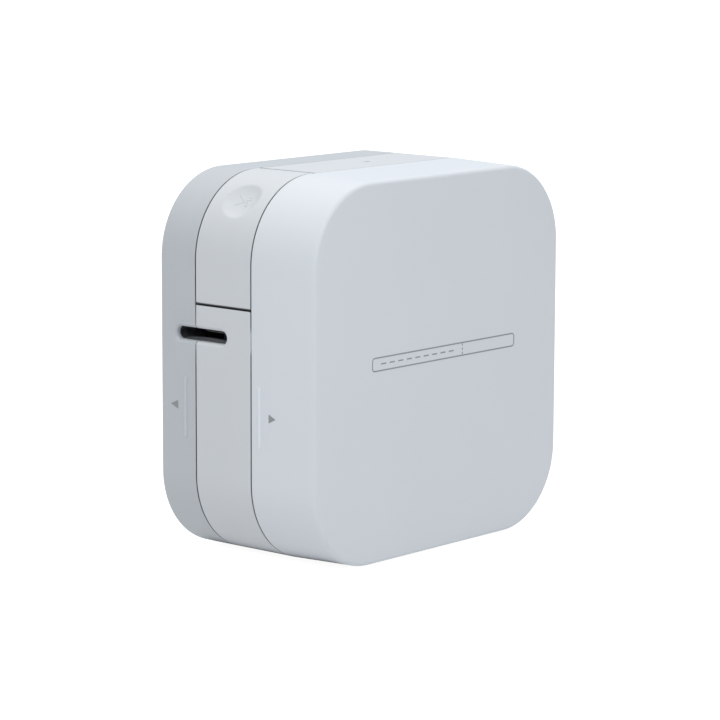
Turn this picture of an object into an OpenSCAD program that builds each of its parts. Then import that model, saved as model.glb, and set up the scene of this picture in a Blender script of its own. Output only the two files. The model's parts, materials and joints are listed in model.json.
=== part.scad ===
// Compact cube label maker, in millimetres.
// X runs along the wide faces, Y through the thickness, Z up; the origin is
// the middle of the footprint. The tape comes out of the -X side, the
// battery side is -Y and the cassette side is +Y.

/* [Body] */
// width of the shell
body_w = 115; // [114.5:0.5:116]
// thickness of the shell
body_d = 61; // [61:0.5:62]
// height of the shell
body_h = 115; // [114.5:0.5:116]
// radius of the four big corners
corner_r = 25.5; // [25:0.25:26]
// wall thickness of the covers
cover_wall = 2; // [1.8:0.1:2.2]
// wall thickness of the centre band
band_wall = 2.2; // [2:0.1:2.3]
// how far the battery cover narrows towards its wide face
cover_draft = 0.8; // [0.2:0.1:1]
// soft edge round the wide faces
edge_r = 1.3; // [0.8:0.1:1.6]
// gap at the two seams
seam_gap = 0.35; // [0.3:0.05:0.5]
// Y of the seam between the battery cover and the band
seam_near = -6.3; // [-6.4:0.1:-6.2]
// Y of the seam between the band and the cassette cover
seam_far = 15.9; // [15.7:0.1:16.1]

/* [Tape slot] */
// height of the tape slot
slot_h = 5; // [4.6:0.1:5.2]
// length of the tape slot
slot_l = 21; // [20:0.5:21.5]
// Z of the middle of the slot
slot_z = 67.6; // [67.5:0.1:67.7]
// Y of the middle of the slot
slot_y = 12.8; // [12.6:0.1:13]

/* [Cutter lever] */
// Z of the parting line under the lever
lever_z = 77; // [76.8:0.1:77.2]
// X of the parting line at the top end of the lever
lever_x = -29.5; // [-29.7:0.1:-29.3]
// width of the thumb dimple
dimple_d = 13; // [11:0.5:14]
// depth of the thumb dimple
dimple_depth = 1.2; // [0.8:0.1:1.3]

/* [Gears] */
// tooth play
gear_play = 0.14; // [0.1:0.02:0.2]

/* [Hidden] */
gear_m = 0.8; // gear module
$fn = 64;
seam_half = seam_gap / 2;
mid_z = body_h / 2;
left_x = -body_w / 2;
right_x = body_w / 2;
run_fit = 0.05;
band_y0 = seam_near + seam_half;
band_y1 = seam_far - seam_half;
near_y = -body_d / 2;
far_y = body_d / 2;
mid_y = (seam_near + seam_far) / 2;
ridge_z0 = 36.4;
ridge_z1 = 54.8;
ridge_out = 0.35;
// cutter lever
pivot = [left_x + 26, 109];
pivot_r = 1.25;
lever_gap = 0.25;
lever_reach = norm([left_x, lever_z + lever_gap] - pivot);
band_reach = norm([left_x, lever_z - lever_gap] - pivot);
rib_depth = 7;
// cutter blades, in X from the wall inwards
blade_t = 0.8;
fixed_x = left_x + 3.3;
moving_x = left_x + 4.2;
frame_x = left_x + 5.2;
blade_y = -7;
blade_z = 66;
blade_rest = 16;
// main plate
plate_y0 = 0;
plate_y1 = 2;
plate_left = left_x + 10.8;
// gear train, teeth and layers
n_pin = 12;
n_big1 = 48;
n_small1 = 14;
n_big2 = 44;
n_small2 = 14;
n_platen = 24;
n_take = 40;
pressure = 25;
gear_t = 2.2;
layer_a = -2.9;
layer_b = -5.5;
layer_c = -8.1;
axle_r = 1.25;
platen_c = [-38, 71.95];
platen_r = 4;
motor_c = [20, 90];
motor_r = 10;
g2_turn = 20;
take_turn = -62;
g2_c = platen_c + gear_m * (n_small2 + n_platen) / 2 * [cos(g2_turn), sin(g2_turn)];
take_c = g2_c + gear_m * (n_small2 + n_take) / 2 * [cos(take_turn), sin(take_turn)];
d_m1 = gear_m * (n_pin + n_big1) / 2;
d_12 = gear_m * (n_small1 + n_big2) / 2;
d_m2 = norm(motor_c - g2_c);
along = (d_12 * d_12 - d_m1 * d_m1 + d_m2 * d_m2) / (2 * d_m2);
aside = sqrt(d_12 * d_12 - along * along);
line_u = (motor_c - g2_c) / d_m2;
g1_c = g2_c + along * line_u + aside * [line_u[1], -line_u[0]];
gear_plate_y0 = -9.6;
gear_plate_y1 = -8.6;
gear_posts = [[-43.5, 58], [27, 74], [-13, 101], [8, 51]];
// battery tray
cell_r = 5.25;
cell_l = 44.5;
cell_pitch = 11.2;
cell_y = -21.6;
cell_z = 37;
tray_x = 51;
tray_y0 = -26.5;
tray_y1 = -14.4;
tray_floor = 1.5;
pocket_x0 = 0.8;
pocket_x1 = 49.4;
tray_posts = [[-44, 24], [42.8, 24], [42.8, 50], [-40.4, 43.5]];
// circuit board
board_x0 = -38;
board_x1 = 46;
board_z0 = 59;
board_z1 = 103;
board_y0 = -12.6;
board_y1 = -11;
board_screws = [[-34, 63], [26, 63], [26, 98], [-34, 98]];
// cassette
cas_x0 = -32;
cas_x1 = 45;
cas_z0 = 13;
cas_z1 = 71;
cas_y0 = 4.5;
cas_y1 = 21.5;
cas_split = 13;
cas_wall = 1.2;
bay_gap = 0.4;
tape_w = 12;
tape_z = 67.6;
spool_c = [22, 40];
spool_r = 15.5;
ribbon_c = [-12, 32];
ribbon_r = 9;
take_r = 6.6;
bay_lugs = [[48.8, 17], [48.8, 46], [-35.8, 17], [-35.8, 46]];
// print head
head_pivot = [-47, 56];
head_x0 = -41;
head_x1 = -35;
release_pivot = [-44, 38];
// power parts on the +X side
jack_z = 68;
button_z = 84;
side_x = 46.8;
led_x = 6.5;
band_bosses = [[-25, 5.2], [25, 5.2], [30, body_h - 5.2], [right_x - 5.2, 30], [left_x + 5.2, 30]];
motor_screws = [[14, 90], [26, 90]];
cutter_screws = [[left_x + 16, 48.5]];
bracket_screws = [[-21.5, 101.5]];

// A flat outline in X and Z, made solid from y0 to y1.
module slab(y0, y1) {
  translate([0, y1, 0]) rotate([90, 0, 0]) linear_extrude(y1 - y0) children();
}
// A flat outline in Y and Z, made solid from x0 to x1.
module slab_x(x0, x1) {
  translate([x0, 0, 0]) rotate([90, 0, 90]) linear_extrude(x1 - x0) children();
}
module disc(c, r) {
  translate(c) circle(r = r);
}
module box(x0, x1, y0, y1, z0, z1) {
  translate([x0, y0, z0]) cube([x1 - x0, y1 - y0, z1 - z0]);
}
// A rectangle in X and Z given by its two corners.
module rect(x0, x1, z0, z1) {
  translate([x0, z0]) square([x1 - x0, z1 - z0]);
}
// The outline of the shell, moved in by inset.
module outline(inset) {
  r = corner_r - inset;
  half_w = body_w / 2 - corner_r;
  half_h = body_h / 2 - corner_r;
  translate([0, mid_z]) union() {
    square([2 * half_w + 2 * r, 2 * half_h], center = true);
    square([2 * half_w, 2 * half_h + 2 * r], center = true);
    for (sx = [-1, 1], sz = [-1, 1]) disc([sx * half_w, sz * half_h], r);
  }
}
module rounded(x0, x1, z0, z1, r) {
  rect(x0 + r, x1 - r, z0, z1);
  rect(x0, x1, z0 + r, z1 - r);
  for (x = [x0 + r, x1 - r], z = [z0 + r, z1 - r]) disc([x, z], r);
}

// One wall profile carried round the outline: u is the distance outwards from
// the corner centres, v the distance towards -Y.
module round_outline() {
  half_w = body_w / 2 - corner_r;
  half_h = body_h / 2 - corner_r;
  for (k = [0:3]) {
    sx = (k == 0 || k == 3) ? 1 : -1;
    sz = k < 2 ? 1 : -1;
    translate([sx * half_w, 0, mid_z + sz * half_h]) rotate([90, 0, 0])
      rotate([0, 0, 90 * k]) rotate_extrude(angle = 90) children();
  }
  for (side = [-1, 1]) {
    translate([side * half_w, 0, mid_z - half_h]) mirror([side < 0 ? 1 : 0, 0, 0])
      linear_extrude(2 * half_h) mirror([0, 1]) children();
    translate([0, 0, mid_z]) mirror([0, 0, side < 0 ? 1 : 0]) translate([half_w, 0, half_h])
      rotate([0, -90, 0]) linear_extrude(2 * half_w) mirror([0, 1]) children();
  }
}
// Wall and soft edge of a cover; v0 is the seam, v1 the wide face.
function soft_edge(u, v, r, way) =
  [for (a = [0:15:90]) [u - r + r * cos(a), v - way * (r - r * sin(a))]];
module cover_profile(v0, v1, draft, way) {
  top_u = corner_r - draft;
  inner = v1 - way * cover_wall;
  polygon(concat([[corner_r - cover_wall, v0], [corner_r, v0]], soft_edge(top_u, v1, edge_r, way),
    [[0, v1], [0, inner], [top_u - cover_wall, inner]]));
}
module cover_face(y0, y1) {
  half_w = body_w / 2 - corner_r;
  half_h = body_h / 2 - corner_r;
  box(-half_w, half_w, y0, y1, mid_z - half_h, mid_z + half_h);
}
module slot_outline() {
  half = (slot_l - slot_h) / 2;
  translate([slot_y, slot_z]) {
    square([2 * half, slot_h], center = true);
    for (s = [-1, 1]) translate([s * half, 0]) circle(d = slot_h);
  }
}
module ridges(y) {
  for (side = [-1, 1]) translate([side * (body_w / 2 - 0.5), y, (ridge_z0 + ridge_z1) / 2])
    cube([1 + 2 * ridge_out, 1, ridge_z1 - ridge_z0], center = true);
}
// Guide tongues that reach from a cover into the band.
module tongues(y0, y1, y_root) {
  inner = band_wall + 0.35;
  t = 1.2;
  for (x = [-14, 14]) {
    box(x - 5, x + 5, min(y0, y_root), max(y1, y_root), inner, inner + t);
  }
  box(10, 22, min(y0, y_root), max(y1, y_root), body_h - inner - t, body_h - inner);
  box(right_x - inner - t, right_x - inner, min(y0, y_root), max(y1, y_root), 42, 52);
  box(left_x + inner, left_x + inner + t, min(y0, y_root), max(y1, y_root), 44, 52);
}

module battery_cover() {
  color([0.82, 0.85, 0.88]) union() {
    round_outline() cover_profile(-(seam_near - seam_half), -near_y, cover_draft, 1);
    cover_face(near_y, near_y + cover_wall);
    ridges(-10.2);
    tongues(seam_near, seam_near + 3.6, seam_near - 4);
    tongue_roots(seam_near - 4, seam_near - 1.5);
  }
}
// Pads that tie the tongues to the cover wall.
module tongue_roots(y0, y1) {
  for (x = [-14, 14]) box(x - 5, x + 5, y0, y1, cover_wall - 1, band_wall + 1.4);
  box(10, 22, y0, y1, body_h - band_wall - 1.4, body_h - cover_wall + 1);
  box(right_x - band_wall - 1.4, right_x - cover_wall + 1, y0, y1, 42, 52);
  box(left_x + cover_wall - 1, left_x + band_wall + 1.4, y0, y1, 44, 52);
}
module cassette_cover() {
  color([0.80, 0.83, 0.86]) difference() {
    union() {
      round_outline() cover_profile(-(seam_far + seam_half), -far_y, 0, -1);
      cover_face(far_y - cover_wall, far_y);
      ridges(19.5);
      tongues(seam_far - 3.6, seam_far, seam_far + 4);
      tongue_roots(seam_far + 1.5, seam_far + 4);
    }
    slab_x(left_x - 1, left_x + cover_wall + 1) slot_outline();
  }
}
// The part of the outline that belongs to the cutter lever.
module lever_zone(reach, gap) {
  intersection() {
    disc(pivot, reach);
    rect(left_x - 5, lever_x - gap, 60, body_h + 5);
  }
}
module housing_band() {
  color([0.81, 0.84, 0.87]) difference() {
    union() {
      slab(band_y0, band_y1) difference() {
        outline(0);
        outline(band_wall);
        lever_zone(band_reach, 0 - lever_gap / 2);
      }
      for (c = band_bosses) slab(plate_y1, 9) intersection() {
        disc(c, 3.2);
        outline(band_wall / 2);
      }
    }
    slab_x(left_x - 1, left_x + band_wall + 1) slot_outline();
    for (c = band_bosses) slab(plate_y1 - 1, 8) disc(c, 1.05);
    slab_x(right_x - band_wall - 1, right_x + 1) {
      translate([mid_y, jack_z]) circle(r = 3.4);
      translate([mid_y, button_z]) circle(r = 3.8);
    }
    translate([led_x, mid_y, body_h - band_wall - 1]) cylinder(r = 1.25, h = band_wall + 2);
  }
}
// Room for the lever in the main plate.
module lever_room() {
  difference() {
    rect(left_x - 5, lever_x + 0.4, 61, body_h + 5);
    disc([left_x + 28, 89.4], 22.3);
    rect(left_x + 7.2, 0, 80, 89.4);
    rect(plate_left, 0, 50, 80.1);
    rect(left_x + 20, 0, 89, 104);
  }
}
module chassis_plate() {
  color([0.30, 0.31, 0.33]) difference() {
    union() {
      slab(plate_y0, plate_y1) difference() {
        outline(band_wall);
        lever_room();
        rect(side_x - 0.2, right_x + 1, 60, 95);
        rect(-24, 40, 16, 26);
        rect(frame_x - 0.2, frame_x + 1.4, 45.8, 62);
      }
      box(0, 13, plate_y1, 9, 102.6, 104);
      for (c = gear_posts) slab(gear_plate_y1, plate_y0) disc(c, 2.2);
    }
    slab(plate_y0 - 1, plate_y1 + 1) {
      disc(pivot, pivot_r);
      disc(platen_c, 1.5 + run_fit);
      disc(take_c, 2.5 + run_fit);
      disc(g1_c, axle_r);
      disc(g2_c, axle_r);
      disc(motor_c, 3.1);
      disc(head_pivot, pivot_r);
      disc(release_pivot, pivot_r);
      for (c = concat(band_bosses, tray_posts, bay_lugs, motor_screws, cutter_screws, bracket_screws))
        disc(c, 1);
    }
    for (c = gear_posts) slab(gear_plate_y1 - 1, -3) disc(c, 1);
  }
}

// Cutter lever: the skin follows the shell, with two ribs and a hub inside.
module cutter_lever() {
  sink_r = (dimple_d * dimple_d / 4 + dimple_depth * dimple_depth) / (2 * dimple_depth);
  corner_c = [left_x + corner_r, body_h - corner_r];
  away = (corner_r + sink_r - dimple_depth) * cos(45);
  color([0.82, 0.85, 0.88]) difference() {
    union() {
      slab(band_y0, band_y1) intersection() {
        difference() {
          outline(0);
          outline(band_wall);
        }
        lever_zone(lever_reach, lever_gap / 2);
      }
      for (y = [3, 8.3]) slab(y, y + 1.2) {
        intersection() {
          difference() {
            outline(band_wall / 2);
            outline(rib_depth);
          }
          lever_zone(lever_reach - 3, lever_gap / 2);
        }
        disc(pivot, 2.8);
      }
      slab(2.6, 9.5) disc(pivot, 2.8);
      slab(2.6, 9.5) rect(pivot[0] - 2.4, lever_x - 0.6, pivot[1], body_h - 1);
      // push finger over the blade tab, rooted in the wall above the parting line
      box(left_x + band_wall + 0.3, left_x + 5.1, -0.4, 1.6, 72.9, 80);
      box(left_x + band_wall - 0.7, left_x + 3, -0.4, 1.6, lever_z + 0.6, 80);
    }
    translate([corner_c[0] - away, mid_y - 0.6, corner_c[1] + away]) sphere(r = sink_r, $fn = 96);
    slab(2, 10) disc(pivot, pivot_r + run_fit);
  }
}
module lever_pin() {
  color([0.72, 0.73, 0.75]) union() {
    slab(plate_y0, 15) disc(pivot, pivot_r);
    slab(14.6, 15.4) disc(pivot, 2);
  }
}
module lever_bracket() {
  x0 = -27;
  color([0.62, 0.63, 0.65]) difference() {
    union() {
      slab(13, 14.5) {
        disc(pivot, 3.1);
        rect(pivot[0], -12, pivot[1] - 3.1, pivot[1] + 3.1);
      }
      box(x0, -12, plate_y1, 14.5, pivot[1] - 3.1, pivot[1] - 1.9);
      box(x0, -12, plate_y1, plate_y1 + 1.2, pivot[1] - 12, pivot[1] - 1.9);
    }
    slab(12, 16) disc(pivot, pivot_r);
    for (c = bracket_screws) slab(1, 5) disc(c, 1);
  }
}
// A wire coil along Z: r to the middle of the wire.
function coil_ring(r, wire, a, z, sides) =
  [for (k = [0:sides - 1]) let (b = 360 * k / sides, q = r + wire * cos(b))
    [q * cos(a), q * sin(a), z + wire * sin(b)]];
module coil(r, wire, length, turns, sides = 6, steps = 16) {
  n = turns * steps;
  points = [for (i = [0:n]) let (z = wire + (length - 2 * wire) * i / n)
    each coil_ring(r, wire, 360 * i / steps, z, sides)];
  skin = [for (i = [0:n - 1], k = [0:sides - 1]) let (a = i * sides + k,
    b = i * sides + (k + 1) % sides) each [[a, b, b + sides], [a, b + sides, a + sides]]];
  caps = [[for (k = [sides - 1:-1:0]) k], [for (k = [0:sides - 1]) n * sides + k]];
  polyhedron(points, concat(skin, caps), convexity = 6);
}
module lever_spring() {
  color([0.70, 0.71, 0.73])
    translate([pivot[0], 12.8, pivot[1]]) rotate([90, 0, 0]) coil(2, 0.3, 3, 4);
}

// Cutter
module cutter_frame() {
  color([0.58, 0.59, 0.61]) difference() {
    union() {
      slab_x(frame_x, frame_x + 1.2) {
        rect(-10, 23, 46, 64.4);
        rect(-10, -3.6, 60, 69.5);
      }
      box(fixed_x + blade_t, frame_x + 1, 3, 22.4, 57.4, 60.6);
      box(frame_x, left_x + 18, plate_y1, plate_y1 + 1, 46, 51);
    }
    slab_x(frame_x - 1, frame_x + 2) translate([blade_y, blade_z]) circle(r = 1.1);
    for (c = cutter_screws) slab(1, 4) disc(c, 1);
  }
}
module fixed_blade() {
  color([0.75, 0.76, 0.78]) slab_x(fixed_x, fixed_x + blade_t) rect(3, 22.4, 57.4, 65);
}
module moving_blade() {
  color([0.78, 0.79, 0.81]) difference() {
    translate([0, blade_y, blade_z]) rotate([blade_rest, 0, 0]) {
      slab_x(moving_x, moving_x + blade_t) {
        circle(r = 3);
        polygon([[0, -2.6], [8.5, 0], [29.5, 0], [29.5, 2.2], [18, 4], [0, 4]]);
      }
      box(moving_x, left_x + 8.6, 6.6, 8.6, 3.2, 4);
    }
    slab_x(moving_x - 1, moving_x + 2) translate([blade_y, blade_z]) circle(r = 1.1 + run_fit);
  }
}
module blade_pin() {
  color([0.70, 0.71, 0.73]) union() {
    slab_x(left_x + 3.4, frame_x + 1.6) translate([blade_y, blade_z]) circle(r = 1.1);
    slab_x(left_x + 3.2, left_x + 4) translate([blade_y, blade_z]) circle(r = 2.1);
  }
}

// Power button, switch and jack on the +X side, status light on top
module power_button() {
  color([0.80, 0.83, 0.86]) union() {
    slab_x(right_x - 3.4, right_x - 0.3) translate([mid_y, button_z]) circle(r = 3.5);
    slab_x(right_x - 3.8, right_x - 2.8) translate([mid_y, button_z]) circle(r = 4.6);
  }
}
module power_switch() {
  color([0.16, 0.16, 0.17]) union() {
    box(side_x + 1.4, side_x + 5.2, mid_y - 3, mid_y + 3, button_z - 3, button_z + 3);
    slab_x(side_x + 5, side_x + 6.1) translate([mid_y, button_z]) circle(r = 1.3);
  }
}
module side_board() {
  color([0.12, 0.34, 0.22]) box(side_x, side_x + 1.4, -3, 12.5, 61, 93);
}
module dc_jack() {
  color([0.10, 0.10, 0.11]) union() {
    difference() {
      box(side_x + 1.4, right_x - band_wall, mid_y - 4.3, mid_y + 4.3, jack_z - 4.3, jack_z + 4.3);
      slab_x(side_x + 2.4, right_x) translate([mid_y, jack_z]) circle(r = 2.8);
    }
    slab_x(side_x + 2, right_x - band_wall - 1) translate([mid_y, jack_z]) circle(r = 0.65);
  }
}
module led_lens() {
  color([0.85, 0.90, 0.86]) translate([led_x, mid_y, 0]) union() {
    translate([0, 0, 106.4]) cylinder(r = 1.2, h = body_h - 0.1 - 106.4);
    translate([0, 0, body_h - 5]) cylinder(r = 2.2, h = 1.2);
  }
}
module led_board() {
  color([0.12, 0.34, 0.22]) union() {
    box(0.5, 12.5, plate_y1 + 0.2, 9, 104, 105.2);
    box(led_x - 0.8, led_x + 0.8, mid_y - 0.6, mid_y + 0.6, 105.1, 106);
  }
}

// Cassette bay and tape cassette
module cassette_bay() {
  g = bay_gap;
  t = 1.2;
  color([0.34, 0.35, 0.37]) difference() {
    union() {
      slab(plate_y1, 12) difference() {
        rect(cas_x0 - g - t, cas_x1 + g + t, cas_z0 - g - t, cas_z1 + g + t);
        rect(cas_x0 - g, cas_x1 + g, cas_z0 - g, cas_z1 + g);
        rect(cas_x0 - 5, cas_x0 + 1, 53, 80);
        rect(cas_x0 - 5, -24, 70, 80);
      }
      for (c = bay_lugs) slab(plate_y1, plate_y1 + 1.6)
        rect(c[0] - 2.5, c[0] + 2.5, c[1] - 2.5, c[1] + 2.5);
    }
    for (c = bay_lugs) slab(1, 5) disc(c, 1);
  }
}
module cassette_room(y0, y1) {
  slab(y0, y1) difference() {
    rect(cas_x0 + cas_wall, cas_x1 - cas_wall, cas_z0 + cas_wall, cas_z1 - cas_wall);
    rect(cas_x0, -20, tape_z - 16, tape_z - 15);
  }
}
module tape_exit() {
  box(cas_x0 - 1, cas_x0 + 3, slot_y - 7, slot_y + 7, tape_z - 1, tape_z + 1);
}
module cassette_case() {
  color([0.20, 0.21, 0.22]) difference() {
    union() {
      difference() {
        slab(cas_y0, cas_split) rect(cas_x0, cas_x1, cas_z0, cas_z1);
        cassette_room(cas_y0 + cas_wall, cas_split + 1);
      }
      slab(cas_y0, cas_y1 - 2) {
        disc(spool_c, 4);
        disc(ribbon_c, 3);
      }
    }
    slab(cas_y0 - 1, cas_split) disc(take_c, 3.4);
    tape_exit();
  }
}
module cassette_lid() {
  color([0.86, 0.87, 0.88]) difference() {
    slab(cas_split, cas_y1) rect(cas_x0, cas_x1, cas_z0, cas_z1);
    cassette_room(cas_split - 1, cas_y1 - cas_wall);
    slab(cas_y1 - 2, cas_y1 + 1) {
      disc(take_c, 4);
      rounded(spool_c[0] - 12, spool_c[0] + 12, spool_c[1] + 7, spool_c[1] + 13, 2);
    }
    tape_exit();
  }
}
module spool(c, hub_r, wound_r, bore_r) {
  difference() {
    union() {
      slab(cas_y0 + 1.8, cas_y0 + 2.6) disc(c, wound_r + 1);
      slab(cas_y0 + 1.8, cas_y1 - 1.8) disc(c, hub_r);
      slab(slot_y - tape_w / 2, slot_y + tape_w / 2) disc(c, wound_r);
    }
    slab(cas_y0, cas_y1) disc(c, bore_r);
  }
}
module tape_spool() {
  color([0.92, 0.92, 0.90]) spool(spool_c, 6, spool_r, 4 + run_fit);
}
module ribbon_spool() {
  color([0.10, 0.10, 0.12]) spool(ribbon_c, 4.5, ribbon_r, 3 + run_fit);
}
module takeup_spool() {
  color([0.14, 0.14, 0.16]) spool(take_c, 4, take_r, 2.5);
}
module label_tape() {
  color([0.94, 0.94, 0.92])
    box(left_x + 8, spool_c[0], slot_y - tape_w / 2, slot_y + tape_w / 2, tape_z, tape_z + 0.15);
}

// Print head on its swinging arm
module print_head() {
  color([0.90, 0.88, 0.84]) box(head_x0, head_x1, 6, 20, 66.7, 67.4);
}
module heat_sink() {
  color([0.70, 0.71, 0.72]) difference() {
    box(head_x0, head_x1, 4.6, 20, 58, 66.7);
    for (y = [7:2.5:18]) box(head_x0 - 1, head_x1 - 2, y, y + 1.1, 57, 65);
  }
}
module head_arm() {
  color([0.55, 0.56, 0.58]) difference() {
    union() {
      slab(3.4, 4.6) {
        disc(head_pivot, 2.8);
        polygon([[head_pivot[0], head_pivot[1] - 2.8], [head_x1, 58], [head_x1, 66.4],
          [head_x0, 66.4], [head_pivot[0], head_pivot[1] + 2.8]]);
        rect(head_pivot[0] - 1.2, head_pivot[0] + 1.8, head_pivot[1] - 8, head_pivot[1]);
      }
      slab(3.4, 9) disc(head_pivot, 2.8);
    }
    slab(2, 10) disc(head_pivot, pivot_r + run_fit);
  }
}
module head_pin() {
  color([0.72, 0.73, 0.75]) union() {
    slab(plate_y0, 12.8) disc(head_pivot, pivot_r);
    slab(12.3, 13.1) disc(head_pivot, 2);
  }
}
module head_spring() {
  color([0.70, 0.71, 0.73])
    translate([head_pivot[0], 12.1, head_pivot[1]]) rotate([90, 0, 0]) coil(2, 0.3, 2.9, 4);
}
module release_lever() {
  color([0.30, 0.50, 0.70]) difference() {
    union() {
      slab(5, 8) {
        disc(release_pivot, 3);
        rect(release_pivot[0] - 1.5, release_pivot[0] + 1.5, release_pivot[1] - 11, release_pivot[1]);
      }
      slab(3.2, 8) disc(release_pivot, 3);
      box(release_pivot[0] - 1.5, release_pivot[0] + 4.5, 5, 22, release_pivot[1] - 12.5,
        release_pivot[1] - 10.5);
    }
    slab(2, 10) disc(release_pivot, pivot_r + run_fit);
  }
}
module release_pin() {
  color([0.72, 0.73, 0.75]) union() {
    slab(plate_y0, 9.2) disc(release_pivot, pivot_r);
    slab(8.5, 9.3) disc(release_pivot, 2);
  }
}

// Platen
module platen_roller() {
  color([0.12, 0.12, 0.13]) difference() {
    slab(5.2, 20.4) disc(platen_c, platen_r);
    slab(4, 22) disc(platen_c, 1.5);
  }
}
module platen_shaft() {
  color([0.74, 0.75, 0.77]) slab(layer_a, 23.4) disc(platen_c, 1.5);
}
module platen_bracket() {
  color([0.60, 0.61, 0.63]) difference() {
    union() {
      slab(21.4, 22.8) {
        disc(platen_c, 3.4);
        rect(platen_c[0] - 3.4, platen_c[0] + 3.4, platen_c[1], 84);
      }
      box(platen_c[0] - 3.4, platen_c[0] + 3.4, plate_y1, 22.8, 82.8, 84);
      box(platen_c[0] - 3.4, platen_c[0] + 3.4, plate_y1, plate_y1 + 1.2, 82.8, 88);
    }
    slab(20, 24) disc(platen_c, 1.5 + run_fit);
  }
}

// Involute gears
function tooth_gap(n) = 90 / n - gear_play / (gear_m * n) * 90 / PI;
function roll(t) = t * PI / 180;
function flank_r(rb, t) = rb * sqrt(1 + roll(t) * roll(t));
function flank_a(t) = t - atan(roll(t));
function polar(r, a) = [r * cos(a), r * sin(a)];
// Points of one tooth from root to tip to root, centred on angle c.
function tooth(n, c) =
  let (r = gear_m * n / 2, rb = r * cos(pressure), ra = r + gear_m, rr = r - 1.25 * gear_m,
    tip = sqrt(ra * ra / (rb * rb) - 1) * 180 / PI,
    low = rb < rr ? sqrt(rr * rr / (rb * rb) - 1) * 180 / PI : 0,
    half = tooth_gap(n) + flank_a(tan(pressure) * 180 / PI),
    steps = [for (s = [0:0.34:1.02]) low + (tip - low) * min(s, 1)])
  concat([polar(rr - 0.01, c - half + flank_a(low))],
    [for (t = steps) polar(flank_r(rb, t), c - half + flank_a(t))],
    [for (i = [3:-1:0]) polar(flank_r(rb, steps[i]), c + half - flank_a(steps[i]))],
    [polar(rr - 0.01, c + half - flank_a(low))]);
module gear(c, n, phase) {
  translate(c) polygon([for (k = [0:n - 1]) each tooth(n, phase + 360 * k / n)]);
}
function bearing(a, b) = atan2(b[1] - a[1], b[0] - a[0]);
// Phase of a gear with n2 teeth so that it meshes with one of n1 teeth at phase a1.
function mesh(a1, dir, n1, n2) = dir + 180 + 180 / n2 - (a1 - dir) * n1 / n2;

module gear_1() {
  color([0.90, 0.89, 0.84]) difference() {
    union() {
      slab(layer_c, layer_c + gear_t) gear(g1_c, n_big1, 0);
      slab(layer_b, layer_c + gear_t + 0.5) gear(g1_c, n_small1, 0);
      slab(layer_c, layer_b + gear_t) gear(g1_c, n_small1, 0);
    }
    slab(-12, 2) disc(g1_c, axle_r + run_fit);
  }
}
module gear_2() {
  color([0.88, 0.87, 0.82]) difference() {
    union() {
      slab(layer_b, layer_b + gear_t) gear(g2_c, n_big2, mesh(0, bearing(g1_c, g2_c), n_small1, n_big2));
      slab(layer_b, layer_a + gear_t) gear(g2_c, n_small2, 0);
    }
    slab(-12, 2) disc(g2_c, axle_r + run_fit);
    for (a = [0:60:300]) slab(-12, layer_b + gear_t - 0.8) disc(g2_c + polar(11.5, a), 3);
  }
}
module platen_gear() {
  color([0.88, 0.87, 0.82]) difference() {
    slab(layer_a, layer_a + gear_t) gear(platen_c, n_platen,
      mesh(0, bearing(g2_c, platen_c), n_small2, n_platen));
    slab(-12, 2) disc(platen_c, 1.5);
  }
}
module takeup_spindle() {
  color([0.86, 0.85, 0.80]) union() {
    slab(layer_a, layer_a + gear_t) gear(take_c, n_take, mesh(0, bearing(g2_c, take_c), n_small2, n_take));
    slab(layer_a, cas_y1 - 2.2) disc(take_c, 2.5);
  }
}
module gear_axles() {
  color([0.74, 0.75, 0.77]) for (c = [g1_c, g2_c]) slab(gear_plate_y0, plate_y1) disc(c, axle_r);
}
module gear_plate() {
  color([0.60, 0.61, 0.63]) difference() {
    slab(gear_plate_y0, gear_plate_y1) difference() {
      rounded(-46, 30, 47.5, 103, 4);
      rounded(-40, -27, 66, 94, 3);
      rounded(9, 24, 56, 72, 3);
      rounded(-26, -8, 52, 62, 3);
    }
    slab(-12, -6) {
      disc(g1_c, axle_r);
      disc(g2_c, axle_r);
      disc(motor_c, 3);
      for (c = concat(gear_posts, board_screws)) disc(c, 1);
    }
  }
}

// Motor
module motor_can() {
  color([0.66, 0.67, 0.69]) difference() {
    union() {
      slab(plate_y1 + 0.1, 25.2) disc(motor_c, motor_r);
      slab(plate_y0 + 0.6, plate_y1 + 1) disc(motor_c, 3);
    }
    slab(-1, 20) disc(motor_c, 1 + run_fit);
    for (c = motor_screws) slab(0, 5) disc(c, 1);
  }
}
module motor_cap() {
  color([0.12, 0.12, 0.13]) union() {
    slab(25.2, 26.6) disc(motor_c, motor_r - 0.6);
    for (s = [-1, 1]) box(motor_c[0] + s * 6 - 1, motor_c[0] + s * 6 + 1, 26.4, 28,
      motor_c[1] - 0.3, motor_c[1] + 0.3);
  }
}
module motor_shaft() {
  color([0.76, 0.77, 0.79]) slab(layer_c - 0.2, 19) disc(motor_c, 1);
}
module motor_pinion() {
  color([0.80, 0.66, 0.36]) difference() {
    slab(layer_c, layer_c + gear_t) gear(motor_c, n_pin, mesh(0, bearing(g1_c, motor_c), n_big1, n_pin));
    slab(-12, 2) disc(motor_c, 1);
  }
}

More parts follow.
